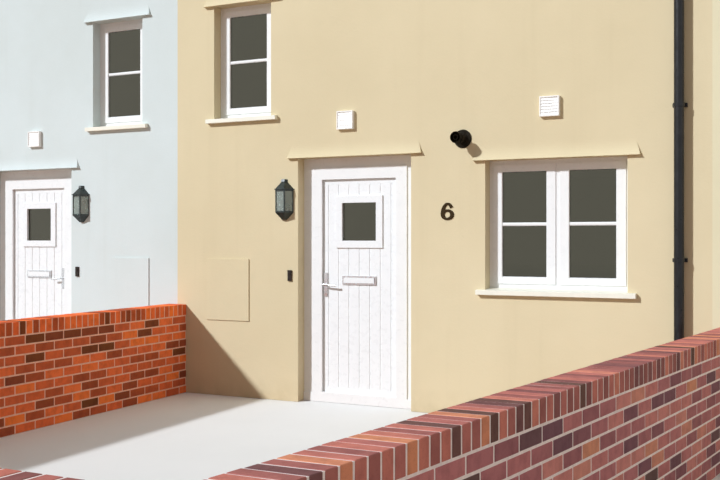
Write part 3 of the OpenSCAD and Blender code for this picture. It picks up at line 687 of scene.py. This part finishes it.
def wall_legs(plan):
    """A garden wall's side and front legs: matrix, length, and whether y starts at the outer face."""
    house_out, corner_out, gap_out, _, corner_in, _ = plan
    left = gap_out.x > corner_out.x
    lean = (house_out - corner_out).normalized()
    start = corner_in - lean * ((corner_in.y - corner_out.y) / lean.y) if left else corner_out
    side = along((start.x, start.y, 0), (lean.x, lean.y, 0), (-1 / lean.y, 0, 0))
    if left:
        front = along((corner_out.x, corner_out.y, 0), (1, 0, 0), (0, 1, 0))
    else:
        front = along((corner_out.x, corner_in.y, 0), (-1, 0, 0), (0, -1, 0))
    return (side, (house_out - corner_out).length, not left), (front, abs(gap_out.x - corner_out.x), left)


def lay_garden_walls(sizes, finishes):
    """Two leaves of bricks in half bond on each leg, a coping on edge, and the mortar behind both."""
    set_in, joint, height = sizes.set_in, sizes.joint, sizes.brick_height
    house_gap, seam = 0.004, 0.002
    seed, seed_step = 11, 13
    low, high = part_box("garden_walls")
    cap_low, cap_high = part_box("garden_wall_copings")
    plans = wall_plans()
    wall_t = plans[0][3].y - plans[0][2].y
    brick = make_brick(sizes.brick_length, sizes.brick_width, height, sizes.arris)
    cap = make_brick(height, wall_t - 2 * set_in, cap_high.z - cap_low.z - set_in, sizes.arris)
    bond = bond_tree()
    half = sizes.brick_width + joint
    runs, caps = [], []
    for plan in plans:
        for leg, (matrix, length, outer_first) in enumerate(wall_legs(plan)):
            for inner in (False, True):
                even, odd = (start + half * inner for start in ((0, half), (half, 0))[leg])
                y = wall_t - sizes.brick_width - set_in if inner == outer_first else set_in
                mesh = grow(bond, brick, Length=length - (set_in if leg else house_gap),
                            Courses=sizes.courses, Gauge=high.z / sizes.courses,
                            Brick_Length=sizes.brick_length, Joint=joint, Even_Start=even, Odd_Start=odd,
                            Seed=seed, Finish=finishes["red_brick"])
                mesh.transform(matrix @ Matrix.Translation((set_in, y, set_in)))
                runs.append(mesh)
                seed += seed_step
            start = wall_t + joint if leg else 0.0
            pitch = (length - start + joint) / round((length - start) / (height + joint))
            mesh = grow(bond, cap, Length=length - start - set_in, Courses=1, Gauge=1.0, Brick_Length=height,
                        Joint=pitch - height, Even_Start=0.0, Odd_Start=0.0, Seed=seed,
                        Finish=finishes["coping_brick"])
            mesh.transform(matrix @ Matrix.Translation((start + set_in, set_in, cap_low.z)))
            caps.append(mesh)
            seed += seed_step
    for tool in (brick, cap):
        bpy.data.objects.remove(tool)
    hand_over(join("garden_wall_bricks", runs), "row", "red_brick", "garden_walls")
    hand_over(join("coping_bricks", caps), "row", "coping_brick", "garden_wall_copings")
    behind = set_in + sizes.joint_depth
    for name, z0, z1, slot, node in (
            ("garden_wall_mortar", low.z, high.z - seam, "red_brick", "garden_walls"),
            ("coping_mortar", cap_low.z - seam, cap_high.z - behind, "coping_brick", "garden_wall_copings")):
        outlines = [[(p.x, p.y, z0) for p in inset(plan, behind)] for plan in plans]
        add_prisms(name, outlines, (0, 0, z1 - z0), finishes["mortar"], slot, node)


# Roof

def slope_frame(node):
    """Eaves point on a slope's underside, run, way up and outward direction."""
    low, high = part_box(node)
    rear = high.y > 1
    depth = high.y - low.y
    sign = -1 if rear else 1
    eaves_y = high.y if rear else low.y
    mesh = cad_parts[node].data
    top = max(v.co.z for v in mesh.vertices if abs(v.co.y - eaves_y) < 0.001)
    rise = high.z - top
    up = Vector((0, sign * depth, rise)).normalized()
    run = Vector((sign, 0, 0))
    return Vector((-sign * ROW_END, eaves_y, low.z)), run, up, run.cross(up), depth


def make_pantile(sizes, cover):
    """A clay pantile: a pan, a roll over its neighbour and a raised tail."""
    lift = sizes.tile_lap_lift * sizes.tile_length / sizes.tile_gauge
    under = [(share * cover, height * sizes.tile_wave) for share, height in PANTILE]
    outline = under + [(x, z + sizes.tile_thickness) for x, z in reversed(under)]
    bm = bmesh.new()
    skin(bm, [[bm.verts.new((x, y, z + rise)) for x, z in outline]
              for y, rise in ((0, lift), (sizes.tile_length, 0))])
    return close("tool_pantile", bm)


def half_round(radius, foot, steps=14):
    """Points as y and z on an arc over the ridge, between the angles of its two feet."""
    angles = (foot + (math.pi - 2 * foot) * i / steps for i in range(steps + 1))
    return [(radius * math.cos(a), radius * math.sin(a)) for a in angles]


def make_ridge_tile(radius, thickness, length, foot):
    """A half-round ridge tile along x, from its outer arc to its inner one."""
    outline = half_round(radius, foot) + half_round(radius - thickness, foot)[::-1]
    bm = bmesh.new()
    add_prism(bm, [(0, y, z) for y, z in outline], (length, 0, 0))
    return close("tool_ridge", bm)


def tile_slope(node, seed, sizes, finishes, field, tile, cover, verge_gap):
    """Pantiles over a deck, with mortar along the verges and a comb under the first course."""
    tile_rest = 0.004
    ridge_gap = 0.006
    foot, run, up, out, depth = slope_frame(node)
    side = node.split("_")[1]
    slope = depth / abs(up.y)
    base = sizes.deck + tile_rest
    room = slope + base * up.z / abs(up.y) - sizes.first_course - sizes.tile_length - ridge_gap
    mesh = grow(field, tile, Columns=sizes.tile_columns, Rows=sizes.tile_courses, Column_Pitch=cover,
                Row_Pitch=room / (sizes.tile_courses - 1), Seed=seed, Finish=finishes["roof_tiles"])
    mesh.transform(along(foot + up * sizes.first_course + out * base + run * verge_gap, run, up, out))
    hand_over(put(f"{side}_pantiles", mesh), "row", "roof_tiles", node)

    tall = Vector((0, 0, sizes.deck / abs(up.y)))
    end = run * (2 * ROW_END)
    add_prisms(f"{side}_roof_deck", [[foot, foot + up * slope, foot + up * slope + tall, foot + tall]], end,
               finishes["underlay"], "roof_tiles", node)

    bed_start = 0.03
    width, strip = run * sizes.verge_width, out * sizes.verge_height
    outlines = [[start + tall, start + tall + up * slope, start + tall + strip + up * slope,
                 start + tall + strip + up * bed_start] for start in (foot, foot + end - width)]
    add_prisms(f"{side}_verge_bedding", outlines, width, finishes["bedding"], "roof_tiles", node)

    comb_in, comb_gap = 0.012, 0.05
    start = foot + tall + up * comb_in + run * comb_gap
    strip = out * sizes.comb_height
    outline = [start, start + up * comb_in, start + up * comb_in + strip, start + strip]
    add_prisms(f"{side}_eaves_comb", [outline], end - run * (2 * comb_gap),
               finishes["black_rainwater_plastic"], "roof_tiles", node)


def lay_ridge(sizes, finishes, field):
    """Half-round tiles along the ridge, and the mortar under them."""
    clearance = 0.001
    bed_gap = 0.006
    skirt_share = 0.96
    low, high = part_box("ridge_capping")
    middle = high.z - high.y
    radius = high.y - clearance
    foot_angle = math.asin((low.z - middle) / radius)
    pitch = 2 * ROW_END / sizes.ridge_tiles
    ridge = make_ridge_tile(radius, sizes.ridge_thickness, pitch - sizes.joint, foot_angle)
    mesh = grow(field, ridge, Columns=sizes.ridge_tiles, Rows=1, Column_Pitch=pitch, Row_Pitch=1.0, Seed=3,
                Finish=finishes["ridge_tiles"])
    mesh.transform(Matrix.Translation((-ROW_END + sizes.joint / 2, 0, middle)))
    bpy.data.objects.remove(ridge)
    hand_over(put("ridge_tile_line", mesh), "row", "ridge_tiles", "ridge_capping")

    foot, _, up, _, depth = slope_frame("roof_front_slope")
    peak = foot.z + depth * up.z / up.y + (sizes.deck + bed_gap) / up.y
    skirt = (radius - bed_gap) * skirt_share
    x = -ROW_END + clearance
    outline = [(x, y, middle + z) for y, z in half_round(radius - bed_gap, foot_angle)]
    outline += [(x, y, peak - abs(y) * up.z / up.y) for y in (-skirt, 0, skirt)]
    add_prisms("ridge_bedding", [outline], (2 * (ROW_END - clearance), 0, 0), finishes["bedding"],
               "ridge_tiles", "ridge_capping")


def tile_roof(sizes, finishes):
    """Both slopes and the ridge, from one field of tiles."""
    verge_gap = 0.003
    cover = 2 * (ROW_END - verge_gap) / (sizes.tile_columns - 1 + PANTILE[-1][0])
    field = field_tree()
    tile = make_pantile(sizes, cover)
    for node, seed in (("roof_front_slope", 5), ("roof_rear_slope", 23)):
        tile_slope(node, seed, sizes, finishes, field, tile, cover, verge_gap)
    bpy.data.objects.remove(tile)
    lay_ridge(sizes, finishes, field)


# Windows

def islands(node):
    """Lowest and highest corners of each separate solid of a CAD node."""
    bm = merged(node)
    boxes, seen = [], set()
    for seed in bm.verts:
        if seed in seen:
            continue
        group, todo = [], [seed]
        seen.add(seed)
        while todo:
            v = todo.pop()
            group.append(v.co.copy())
            for edge in v.link_edges:
                other = edge.other_vert(v)
                if other not in seen:
                    seen.add(other)
                    todo.append(other)
        boxes.append((Vector([min(c[i] for c in group) for i in range(3)]),
                      Vector([max(c[i] for c in group) for i in range(3)])))
    bm.free()
    return boxes


def trim_pane(beads, seals, bars, low, high, sash, sizes):
    """Beads, seals and a bar on both sides of a pane, from the sash's faces to the glass."""
    tuck = 0.001
    seal_back, seal_lip = 0.0025, 0.001
    bar_round = 0.45
    bead, step = sizes.bead, sizes.bead_step
    middle, half = (low.z + high.z) / 2, sizes.bar_height / 2
    for face, edge in ((low.y, sash[0].y), (high.y, sash[1].y)):
        way = 1 if edge < face else -1
        around = (low.x, high.x, low.z, high.z)
        add_frame(beads, *around, ((0, edge + way * step), (0, face), (bead, face),
                                   (bead, face - way * step)))
        add_frame(seals, *around, ((bead - tuck, face - way * seal_back), (bead - tuck, face),
                                   (bead + sizes.seal, face), (bead + sizes.seal, face - way * seal_lip)))
        nose = edge + way * sizes.bar_nose
        section = ((face, -half), ((face + nose) / 2, -half), (nose, -half * bar_round))
        outline = (*section, *((y, -z) for y, z in reversed(section)))
        add_prism(bars, [(low.x, y, middle + z) for y, z in outline], (high.x - low.x, 0, 0))


def glaze_windows(sizes, finishes):
    """The trim of every window pane, in three pieces."""
    slack = 1e-4
    sashes = islands("window_sashes")
    beads, seals, bars = (bmesh.new() for _ in range(3))
    for low, high in islands("window_glass"):
        sash = next(s for s in sashes
                    if all(s[0][i] < low[i] + slack and s[1][i] > high[i] - slack for i in range(3)))
        trim_pane(beads, seals, bars, low, high, sash, sizes)
    add_piece("glazing_beads", beads, finishes["white_joinery"], "white_joinery")
    add_piece("glazing_seals", seals, finishes["seal"], "white_joinery")
    add_piece("glazing_bars", bars, finishes["white_joinery"], "white_joinery")


# Trim

def soften(node, body, slot, finish, width):
    """A copy of a CAD node with its sharp edges rounded, in the node's place."""
    flat, sharp = math.radians(0.5), math.radians(35)
    bm = merged(node)
    bmesh.ops.dissolve_limit(bm, angle_limit=flat, verts=bm.verts, edges=bm.edges)
    edges = [e for e in bm.edges if len(e.link_faces) == 2 and e.calc_face_angle(0) > sharp]
    bmesh.ops.bevel(bm, geom=edges, offset=width, segments=2, profile=0.5, affect="EDGES", clamp_overlap=True)
    hand_over(close(f"{node}_soft", bm, finish), body, slot, node)


def add_stroke(bm, path, plane_y, relief, ring=False):
    """A raised stroke on an upright plane, from middle points and half widths along it, or a ring of it."""
    count = len(path)
    edge, flat = relief - 0.0015, 0.75
    section = ((-1, 0), (-1, edge), (-flat, relief), (flat, relief), (1, edge), (1, 0))
    bands = []
    for i, (x, z, half) in enumerate(path):
        ahead = path[(i + 1) % count] if ring else path[min(i + 1, count - 1)]
        behind = path[i - 1] if ring else path[max(i - 1, 0)]
        way = Vector((ahead[0] - behind[0], ahead[1] - behind[1])).normalized() * half
        bands.append([bm.verts.new((x + way.y * s, plane_y - out, z - way.x * s)) for s, out in section])
    skin(bm, bands, closed=ring)


def make_numeral(sizes, finish):
    """A plain upright six: a round bowl under a stem that bends over at the top."""
    steps = 28
    first, sweep = 186, 148
    sunk = 0.0008
    height, relief = sizes.numeral_height, sizes.numeral_relief
    middle_x, foot_z = NUMERAL_PLACE

    def bowl(a):
        return 0.29 * math.cos(a), 0.31 + 0.24 * math.sin(a), 0.070 + 0.050 * math.cos(a) ** 2

    def stem(a):
        return (0.02 + 0.31 * math.cos(a), 0.36 + 0.575 * math.sin(a),
                0.120 - 0.045 * max(0.0, math.sin(a)) ** 2)

    def placed(x, z, half):
        return middle_x + height * x, foot_z + height * z, height * half

    bm = bmesh.new()
    ring = [placed(*bowl(2 * math.pi * i / steps)) for i in range(steps)]
    back = [placed(*stem(math.radians(first - sweep * i / steps))) for i in range(steps + 1)]
    add_stroke(bm, ring, FRONT, relief, ring=True)
    add_stroke(bm, back, FRONT, relief - sunk)
    add_piece("house_number", bm, finish, "black_iron")


def add_turned(bm, place, profile, steps=40):
    """A closed turned form on an axis square to the front, from radii and distances before the wall."""
    skin(bm, [[bm.verts.new((place[0] + r * math.cos(a), FRONT - out, place[1] + r * math.sin(a)))
               for a in (2 * math.pi * i / steps for i in range(steps))] for r, out in profile])


def make_flues(sizes, finish):
    """Flue terminals: a rubber seal, a pipe, a ribbed open head and the inner pipe in its mouth."""
    pipe, head, inner = sizes.flue_pipe, sizes.flue_head, sizes.flue_inner
    head_length, mouth, skin, inner_skin = 0.060, 0.045, 0.004, 0.003
    ribs, rib_pitch, rib_rise, rib_width, first_rib = 3, 0.016, 0.003, 0.007, 0.056
    bm = bmesh.new()
    for low, high in islands("flue_terminals"):
        reach, seal = FRONT - low.y, (high.x - low.x) / 2 - 0.001
        place = ((low.x + high.x) / 2, (low.z + high.z) / 2)
        collar = [(seal, 0), (seal, 0.006), (seal - 0.004, 0.010), (pipe + 0.014, 0.014),
                  (pipe + 0.010, 0.026), (pipe, 0.027)]
        rings = [(head + rise, reach - first_rib + rib_pitch * i + step) for i in range(ribs)
                 for rise, step in ((0, 0), (rib_rise, 0.001), (rib_rise, rib_width - 0.001), (0, rib_width))]
        lip = [(head, reach - 0.001), (head - 0.001, reach), (head - skin, reach),
               (head - skin, reach - mouth)]
        add_turned(bm, place, [*collar, (pipe, reach - head_length - 0.003), (head, reach - head_length),
                               *rings, *lip])
        inner_end = reach - 0.006
        add_turned(bm, place, [(inner, reach - 0.050), (inner, inner_end), (inner - inner_skin, inner_end),
                               (inner - inner_skin, reach - 0.040)])
    add_piece("ribbed_flues", bm, finish, "black_flue_metal", "flue_terminals")


def make_vents(sizes, finish):
    """Wall vents: a rim round slats that lap each other like boards, before a back plate."""
    rim, tuck, soft = sizes.vent_rim, 0.002, 0.002
    slat_front, slat_back, skin = 0.003, 0.010, 0.003
    plate_front, plate_back = 0.018, 0.021
    bm = bmesh.new()
    for low, high in islands("wall_vents"):
        front = low.y
        add_frame(bm, low.x, high.x, low.z, high.z, (
            (0, FRONT), (0, front + soft), (soft, front), (rim - 0.001, front), (rim, front + 0.001),
            (rim, FRONT)))
        left, width = low.x + rim - tuck, high.x - low.x - 2 * (rim - tuck)
        pitch = (high.z - low.z - 2 * rim) / sizes.vent_slats
        for i in range(sizes.vent_slats):
            z = low.z + rim + i * pitch
            top = z + pitch + (sizes.vent_lap if i < sizes.vent_slats - 1 else 0)
            add_prism(bm, [(left, front + out, up) for out, up in (
                (slat_front, z), (slat_front + skin, z), (slat_back + skin, top), (slat_back, top))],
                (width, 0, 0))
        add_box(bm, (left, front + plate_front, low.z + rim - tuck),
                (left + width, front + plate_back, high.z - rim + tuck))
    add_piece("vent_grilles", bm, finish, "white_vent_plastic", "wall_vents")


# Operators

def make_finishes():
    """The finishes by name, made once."""
    if FINISHES:
        return FINISHES
    c = bpy.context.scene.house_row_colours
    pantile, joinery = tuple(c.pantile), tuple(c.joinery)
    for name, make, *values in (
            ("blue_render", smooth_coat, tuple(c.blue_coat)),
            ("buff_render", smooth_coat, tuple(c.buff_coat)),
            ("cream_render", smooth_coat, tuple(c.cream_coat)),
            ("fittings_render", smooth_coat, coat_by_house(c)),
            ("blockwork", block_finish),
            ("concrete", mortar_finish, tone(150, 147, 140)),
            ("floor_boards", board_finish),
            ("plaster", plaster_finish, tone(236, 233, 226)),
            ("underlay", black_finish, tone(52, 50, 50), 0.8),
            ("roof_tiles", clay_finish, pantile),
            ("ridge_tiles", clay_finish, scaled(pantile, 0.85)),
            ("white_boards", painted_finish, scaled(joinery, 0.96), 0.38),
            ("black_rainwater_plastic", black_finish, tuple(c.black), 0.33, 0.3),
            # The dark tint of the glass is painted shade of the dim rooms behind it
            ("glass", glass_finish, tuple(c.glass), 0.02, 1.0, 1.8),
            ("opal_glass", glass_finish, tone(196, 208, 202), 0.25, 0.65),
            ("white_joinery", painted_finish, joinery, 0.30, 0.035),
            ("cream_sill", painted_finish, tuple(c.sill), 0.40, 0.06),
            ("white_door", painted_finish, tuple(c.door), 0.28, 0.03),
            ("cream_door", painted_finish, tone(232, 224, 196), 0.30),
            ("steel_furniture", steel_finish),
            ("black_iron", black_finish, tuple(c.lantern), 0.30),
            ("white_vent_plastic", painted_finish, tone(248, 247, 243), 0.40),
            ("black_flue_metal", black_finish, tone(26, 20, 10), 0.6, 0.1),
            ("black_bell_plastic", black_finish, tone(38, 28, 22), 0.3, 0.3),
            ("red_brick", brick_finish, tuple(c.brick)),
            ("coping_brick", brick_finish, tuple(c.coping)),
            # The mortar's left tint is painted warm bounce light
            ("mortar", mortar_finish, tuple(c.mortar), (1.0, 0.68, 0.53)),
            ("bedding", mortar_finish, tone(196, 186, 172)),
            ("seal", black_finish, tone(40, 40, 42), 0.6),
            ("numeral", painted_finish, tuple(c.numeral), 0.6, 0.05, 0.08)):
        FINISHES[name] = make(name, *values)
    return FINISHES


def dress_all(**finish_by_node):
    """Gives CAD nodes one finish each."""
    for node, finish in finish_by_node.items():
        dress(node, make_finishes()[finish])


class HOUSEROW_OT_walls(bpy.types.Operator):
    """Gives the walls, floors and ceilings their finishes"""

    bl_idname = "houserow.walls"
    bl_label = "Finish Walls"

    def execute(self, context):
        finishes = make_finishes()

        def on_inner_face(centre, normal):
            return abs(centre.y) < REAR - WALL_DEPTH and normal.y * centre.y < -0.5

        def within_row(centre, normal):
            return abs(centre.x) < ROW_END - 0.01

        def on_top(centre, normal):
            return normal.z > 0.5

        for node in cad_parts:
            if "front_wall" in node or "rear_wall" in node:
                dress(node, finishes[COAT[node.split("_")[0]]], (finishes["plaster"], on_inner_face))
        dress("party_walls", finishes["blockwork"], (finishes["plaster"], within_row))
        dress("first_floors", finishes["plaster"], (finishes["floor_boards"], on_top))
        dress_all(ground_floors="concrete", ceilings="plaster", bell_cast_drips="fittings_render",
                  meter_box_covers="fittings_render")
        return {"FINISHED"}


class HOUSEROW_OT_garden_walls(bpy.types.Operator):
    """Lays the garden walls brick by brick, with a brick-on-edge coping"""

    bl_idname = "houserow.garden_walls"
    bl_label = "Lay Garden Walls"

    def execute(self, context):
        lay_garden_walls(context.scene.house_row_sizes, make_finishes())
        return {"FINISHED"}


class HOUSEROW_OT_roof(bpy.types.Operator):
    """Tiles both slopes and the ridge"""

    bl_idname = "houserow.roof"
    bl_label = "Tile Roof"

    def execute(self, context):
        tile_roof(context.scene.house_row_sizes, make_finishes())
        return {"FINISHED"}


class HOUSEROW_OT_rainwater(bpy.types.Operator):
    """Finishes the eaves boards, gutters and downpipes"""

    bl_idname = "houserow.rainwater"
    bl_label = "Finish Eaves"

    def execute(self, context):
        dress_all(eaves_boards="white_boards", gutters="black_rainwater_plastic",
                  downpipes="black_rainwater_plastic")
        return {"FINISHED"}


class HOUSEROW_OT_windows(bpy.types.Operator):
    """Glazes the windows, with beads, seals and glazing bars"""

    bl_idname = "houserow.windows"
    bl_label = "Glaze Windows"

    def execute(self, context):
        sizes, finishes = context.scene.house_row_sizes, make_finishes()
        for node, paint in (("window_sills", "cream_sill"), ("window_frames", "white_joinery"),
                            ("window_sashes", "white_joinery")):
            soften(node, "row", "white_joinery", finishes[paint], sizes.soft_edge)
        dress_all(window_glass="glass")
        glaze_windows(sizes, finishes)
        return {"FINISHED"}


class HOUSEROW_OT_doors(bpy.types.Operator):
    """Finishes the front and rear doors"""

    bl_idname = "houserow.doors"
    bl_label = "Finish Doors"

    def execute(self, context):
        edge, finishes = context.scene.house_row_sizes.soft_edge, make_finishes()
        half_plate = 0.18
        soften("front_door_frames", "row", "white_joinery", finishes["white_joinery"], edge)
        soften("rear_doors", "row", "white_door", finishes["white_joinery"], edge)
        dress_all(front_door_hinges="steel_furniture")
        for house in HOUSES:
            paint = finishes["cream_door" if house == "right" else "white_door"]
            soften(f"{house}_door_leaf", DOOR_BODY[house], "white_door", paint, edge)
            dress(f"{house}_door_glass", finishes["glass"])
            low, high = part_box(f"{house}_door_leaf")
            middle = (low.x + high.x) / 2

            def on_letter_plate(centre, normal):
                return abs(centre.x - middle) < half_plate and centre.y < low.y + 0.001

            def on_plate_front(centre, normal):
                return on_letter_plate(centre, normal) and normal.y < -0.5

            # The letter plates' edges take the dark seal finish as painted shade lines round the plates
            dress(f"{house}_door_furniture", finishes["steel_furniture"],
                  (finishes["white_door"], on_plate_front), (finishes["seal"], on_letter_plate))
        return {"FINISHED"}


class HOUSEROW_OT_fittings(bpy.types.Operator):
    """Finishes lanterns, vents, flues, bell pushes and the house number"""

    bl_idname = "houserow.fittings"
    bl_label = "Finish Fittings"

    def execute(self, context):
        sizes, finishes = context.scene.house_row_sizes, make_finishes()
        dress_all(wall_lanterns="black_iron", lantern_glass="opal_glass", bell_pushes="black_bell_plastic")
        make_vents(sizes, finishes["white_vent_plastic"])
        make_flues(sizes, finishes["black_flue_metal"])
        make_numeral(sizes, finishes["numeral"])
        return {"FINISHED"}


class HOUSEROW_OT_stage(bpy.types.Operator):
    """Puts the pale floor, the lights and the camera in place"""

    bl_idname = "houserow.stage"
    bl_label = "Set Stage"

    def execute(self, context):
        scene = context.scene
        scene.view_settings.view_transform = "Standard"
        set_floor()
        set_world(scene)
        for name, energy, shade, spread, source in (
                ("key", 3.32, (0.95, 1.0, 1.06), 3, KEY_FROM),
                ("fill", 0.42, (1.0, 1.0, 1.0), 70, FILL_FROM)):
            light = bpy.data.lights.new(name, "SUN")
            light.energy = energy
            light.color = shade
            light.angle = math.radians(spread)
            lamp = bpy.data.objects.new(name, light)
            lamp.rotation_euler = Vector(source).to_track_quat("Z", "Y").to_euler()
            scene.collection.objects.link(lamp)
        lens = bpy.data.cameras.new("camera")
        lens.sensor_width = 36.0
        lens.lens = CAMERA_LENS
        camera = bpy.data.objects.new("camera", lens)
        camera.location = CAMERA_PLACE
        camera.rotation_euler = (math.radians(90), 0, math.radians(CAMERA_TURN))
        scene.collection.objects.link(camera)
        scene.camera = camera
        return {"FINISHED"}


def seen_directly(bench):
    """One for the rays that show the backdrop: to the camera, in gloss and through glass."""
    path = bench.add("ShaderNodeLightPath").outputs
    shown = bench.math("MAXIMUM", path["Is Camera Ray"], path["Is Glossy Ray"])
    return bench.math("MAXIMUM", shown, path["Is Transmission Ray"])


def set_world(scene):
    """White where it shows, and dim where it lights."""
    white, dim = 1.0, 0.3
    world = bpy.data.worlds.new("studio")
    world.use_nodes = True
    bench = Bench(world.node_tree)
    background = world.node_tree.nodes["Background"]
    background.inputs["Color"].default_value = (1, 1, 1, 1)
    bench.feed(background.inputs["Strength"],
               bench.math("MULTIPLY_ADD", seen_directly(bench), white - dim, dim))
    scene.world = world


def set_floor():
    """A wide pale disc that fades into the backdrop."""
    fade_start, fade_end = 18.0, 60.0
    bm = bmesh.new()
    bmesh.ops.create_circle(bm, cap_ends=True, segments=96, radius=140.0)
    floor = close("studio_floor", bm)
    floor.location.z = -0.002
    f = Finish("studio_floor", 0.9, 0.1)
    shown = seen_directly(f)
    pale = f.blend(f.patches(0.6, 4, 0.3, 0.7), (0.80, 0.80, 0.79), (0.84, 0.84, 0.83))
    f.colour(f.blend(shown, (0.48, 0.35, 0.27), pale))
    distance = f.add("ShaderNodeVectorMath", {0: f.place}, operation="LENGTH").outputs["Value"]
    glow = f.add("ShaderNodeEmission", {"Color": (1, 1, 1, 1), "Strength": 1.0})
    fade = f.math("MULTIPLY", f.between(distance, fade_start, fade_end), shown)
    mix = f.add("ShaderNodeMixShader", {0: fade, 1: f.shader.outputs[0], 2: glow})
    f.feed(f.tree.nodes["Material Output"].inputs["Surface"], mix)
    floor.data.materials.append(f.material)


class HOUSEROW_PT_panel(bpy.types.Panel):
    """Lists the steps that dress the row"""

    bl_idname = "HOUSEROW_PT_panel"
    bl_label = "House Row"
    bl_space_type = "VIEW_3D"
    bl_region_type = "UI"
    bl_category = "House Row"

    def draw(self, context):
        for step in STEPS:
            self.layout.operator(step.bl_idname)
        for group in (context.scene.house_row_sizes, context.scene.house_row_colours):
            box = self.layout.box()
            for name in group.__annotations__:
                box.prop(group, name)


STEPS = (HOUSEROW_OT_walls, HOUSEROW_OT_garden_walls, HOUSEROW_OT_roof, HOUSEROW_OT_rainwater,
         HOUSEROW_OT_windows, HOUSEROW_OT_doors, HOUSEROW_OT_fittings, HOUSEROW_OT_stage)
CLASSES = (RowSizes, RowColours, *STEPS, HOUSEROW_PT_panel)


def register():
    """Registers the classes and puts the sizes and colours on the scene."""
    for item in CLASSES:
        bpy.utils.register_class(item)
    bpy.types.Scene.house_row_sizes = PointerProperty(type=RowSizes)
    bpy.types.Scene.house_row_colours = PointerProperty(type=RowColours)


def unregister():
    """Takes away what register has added."""
    del bpy.types.Scene.house_row_colours
    del bpy.types.Scene.house_row_sizes
    for item in reversed(CLASSES):
        bpy.utils.unregister_class(item)


def main():
    """Runs the steps in order."""
    register()
    for step in STEPS:
        group, name = step.bl_idname.split(".")
        getattr(getattr(bpy.ops, group), name)()


if __name__ == "__main__":
    main()
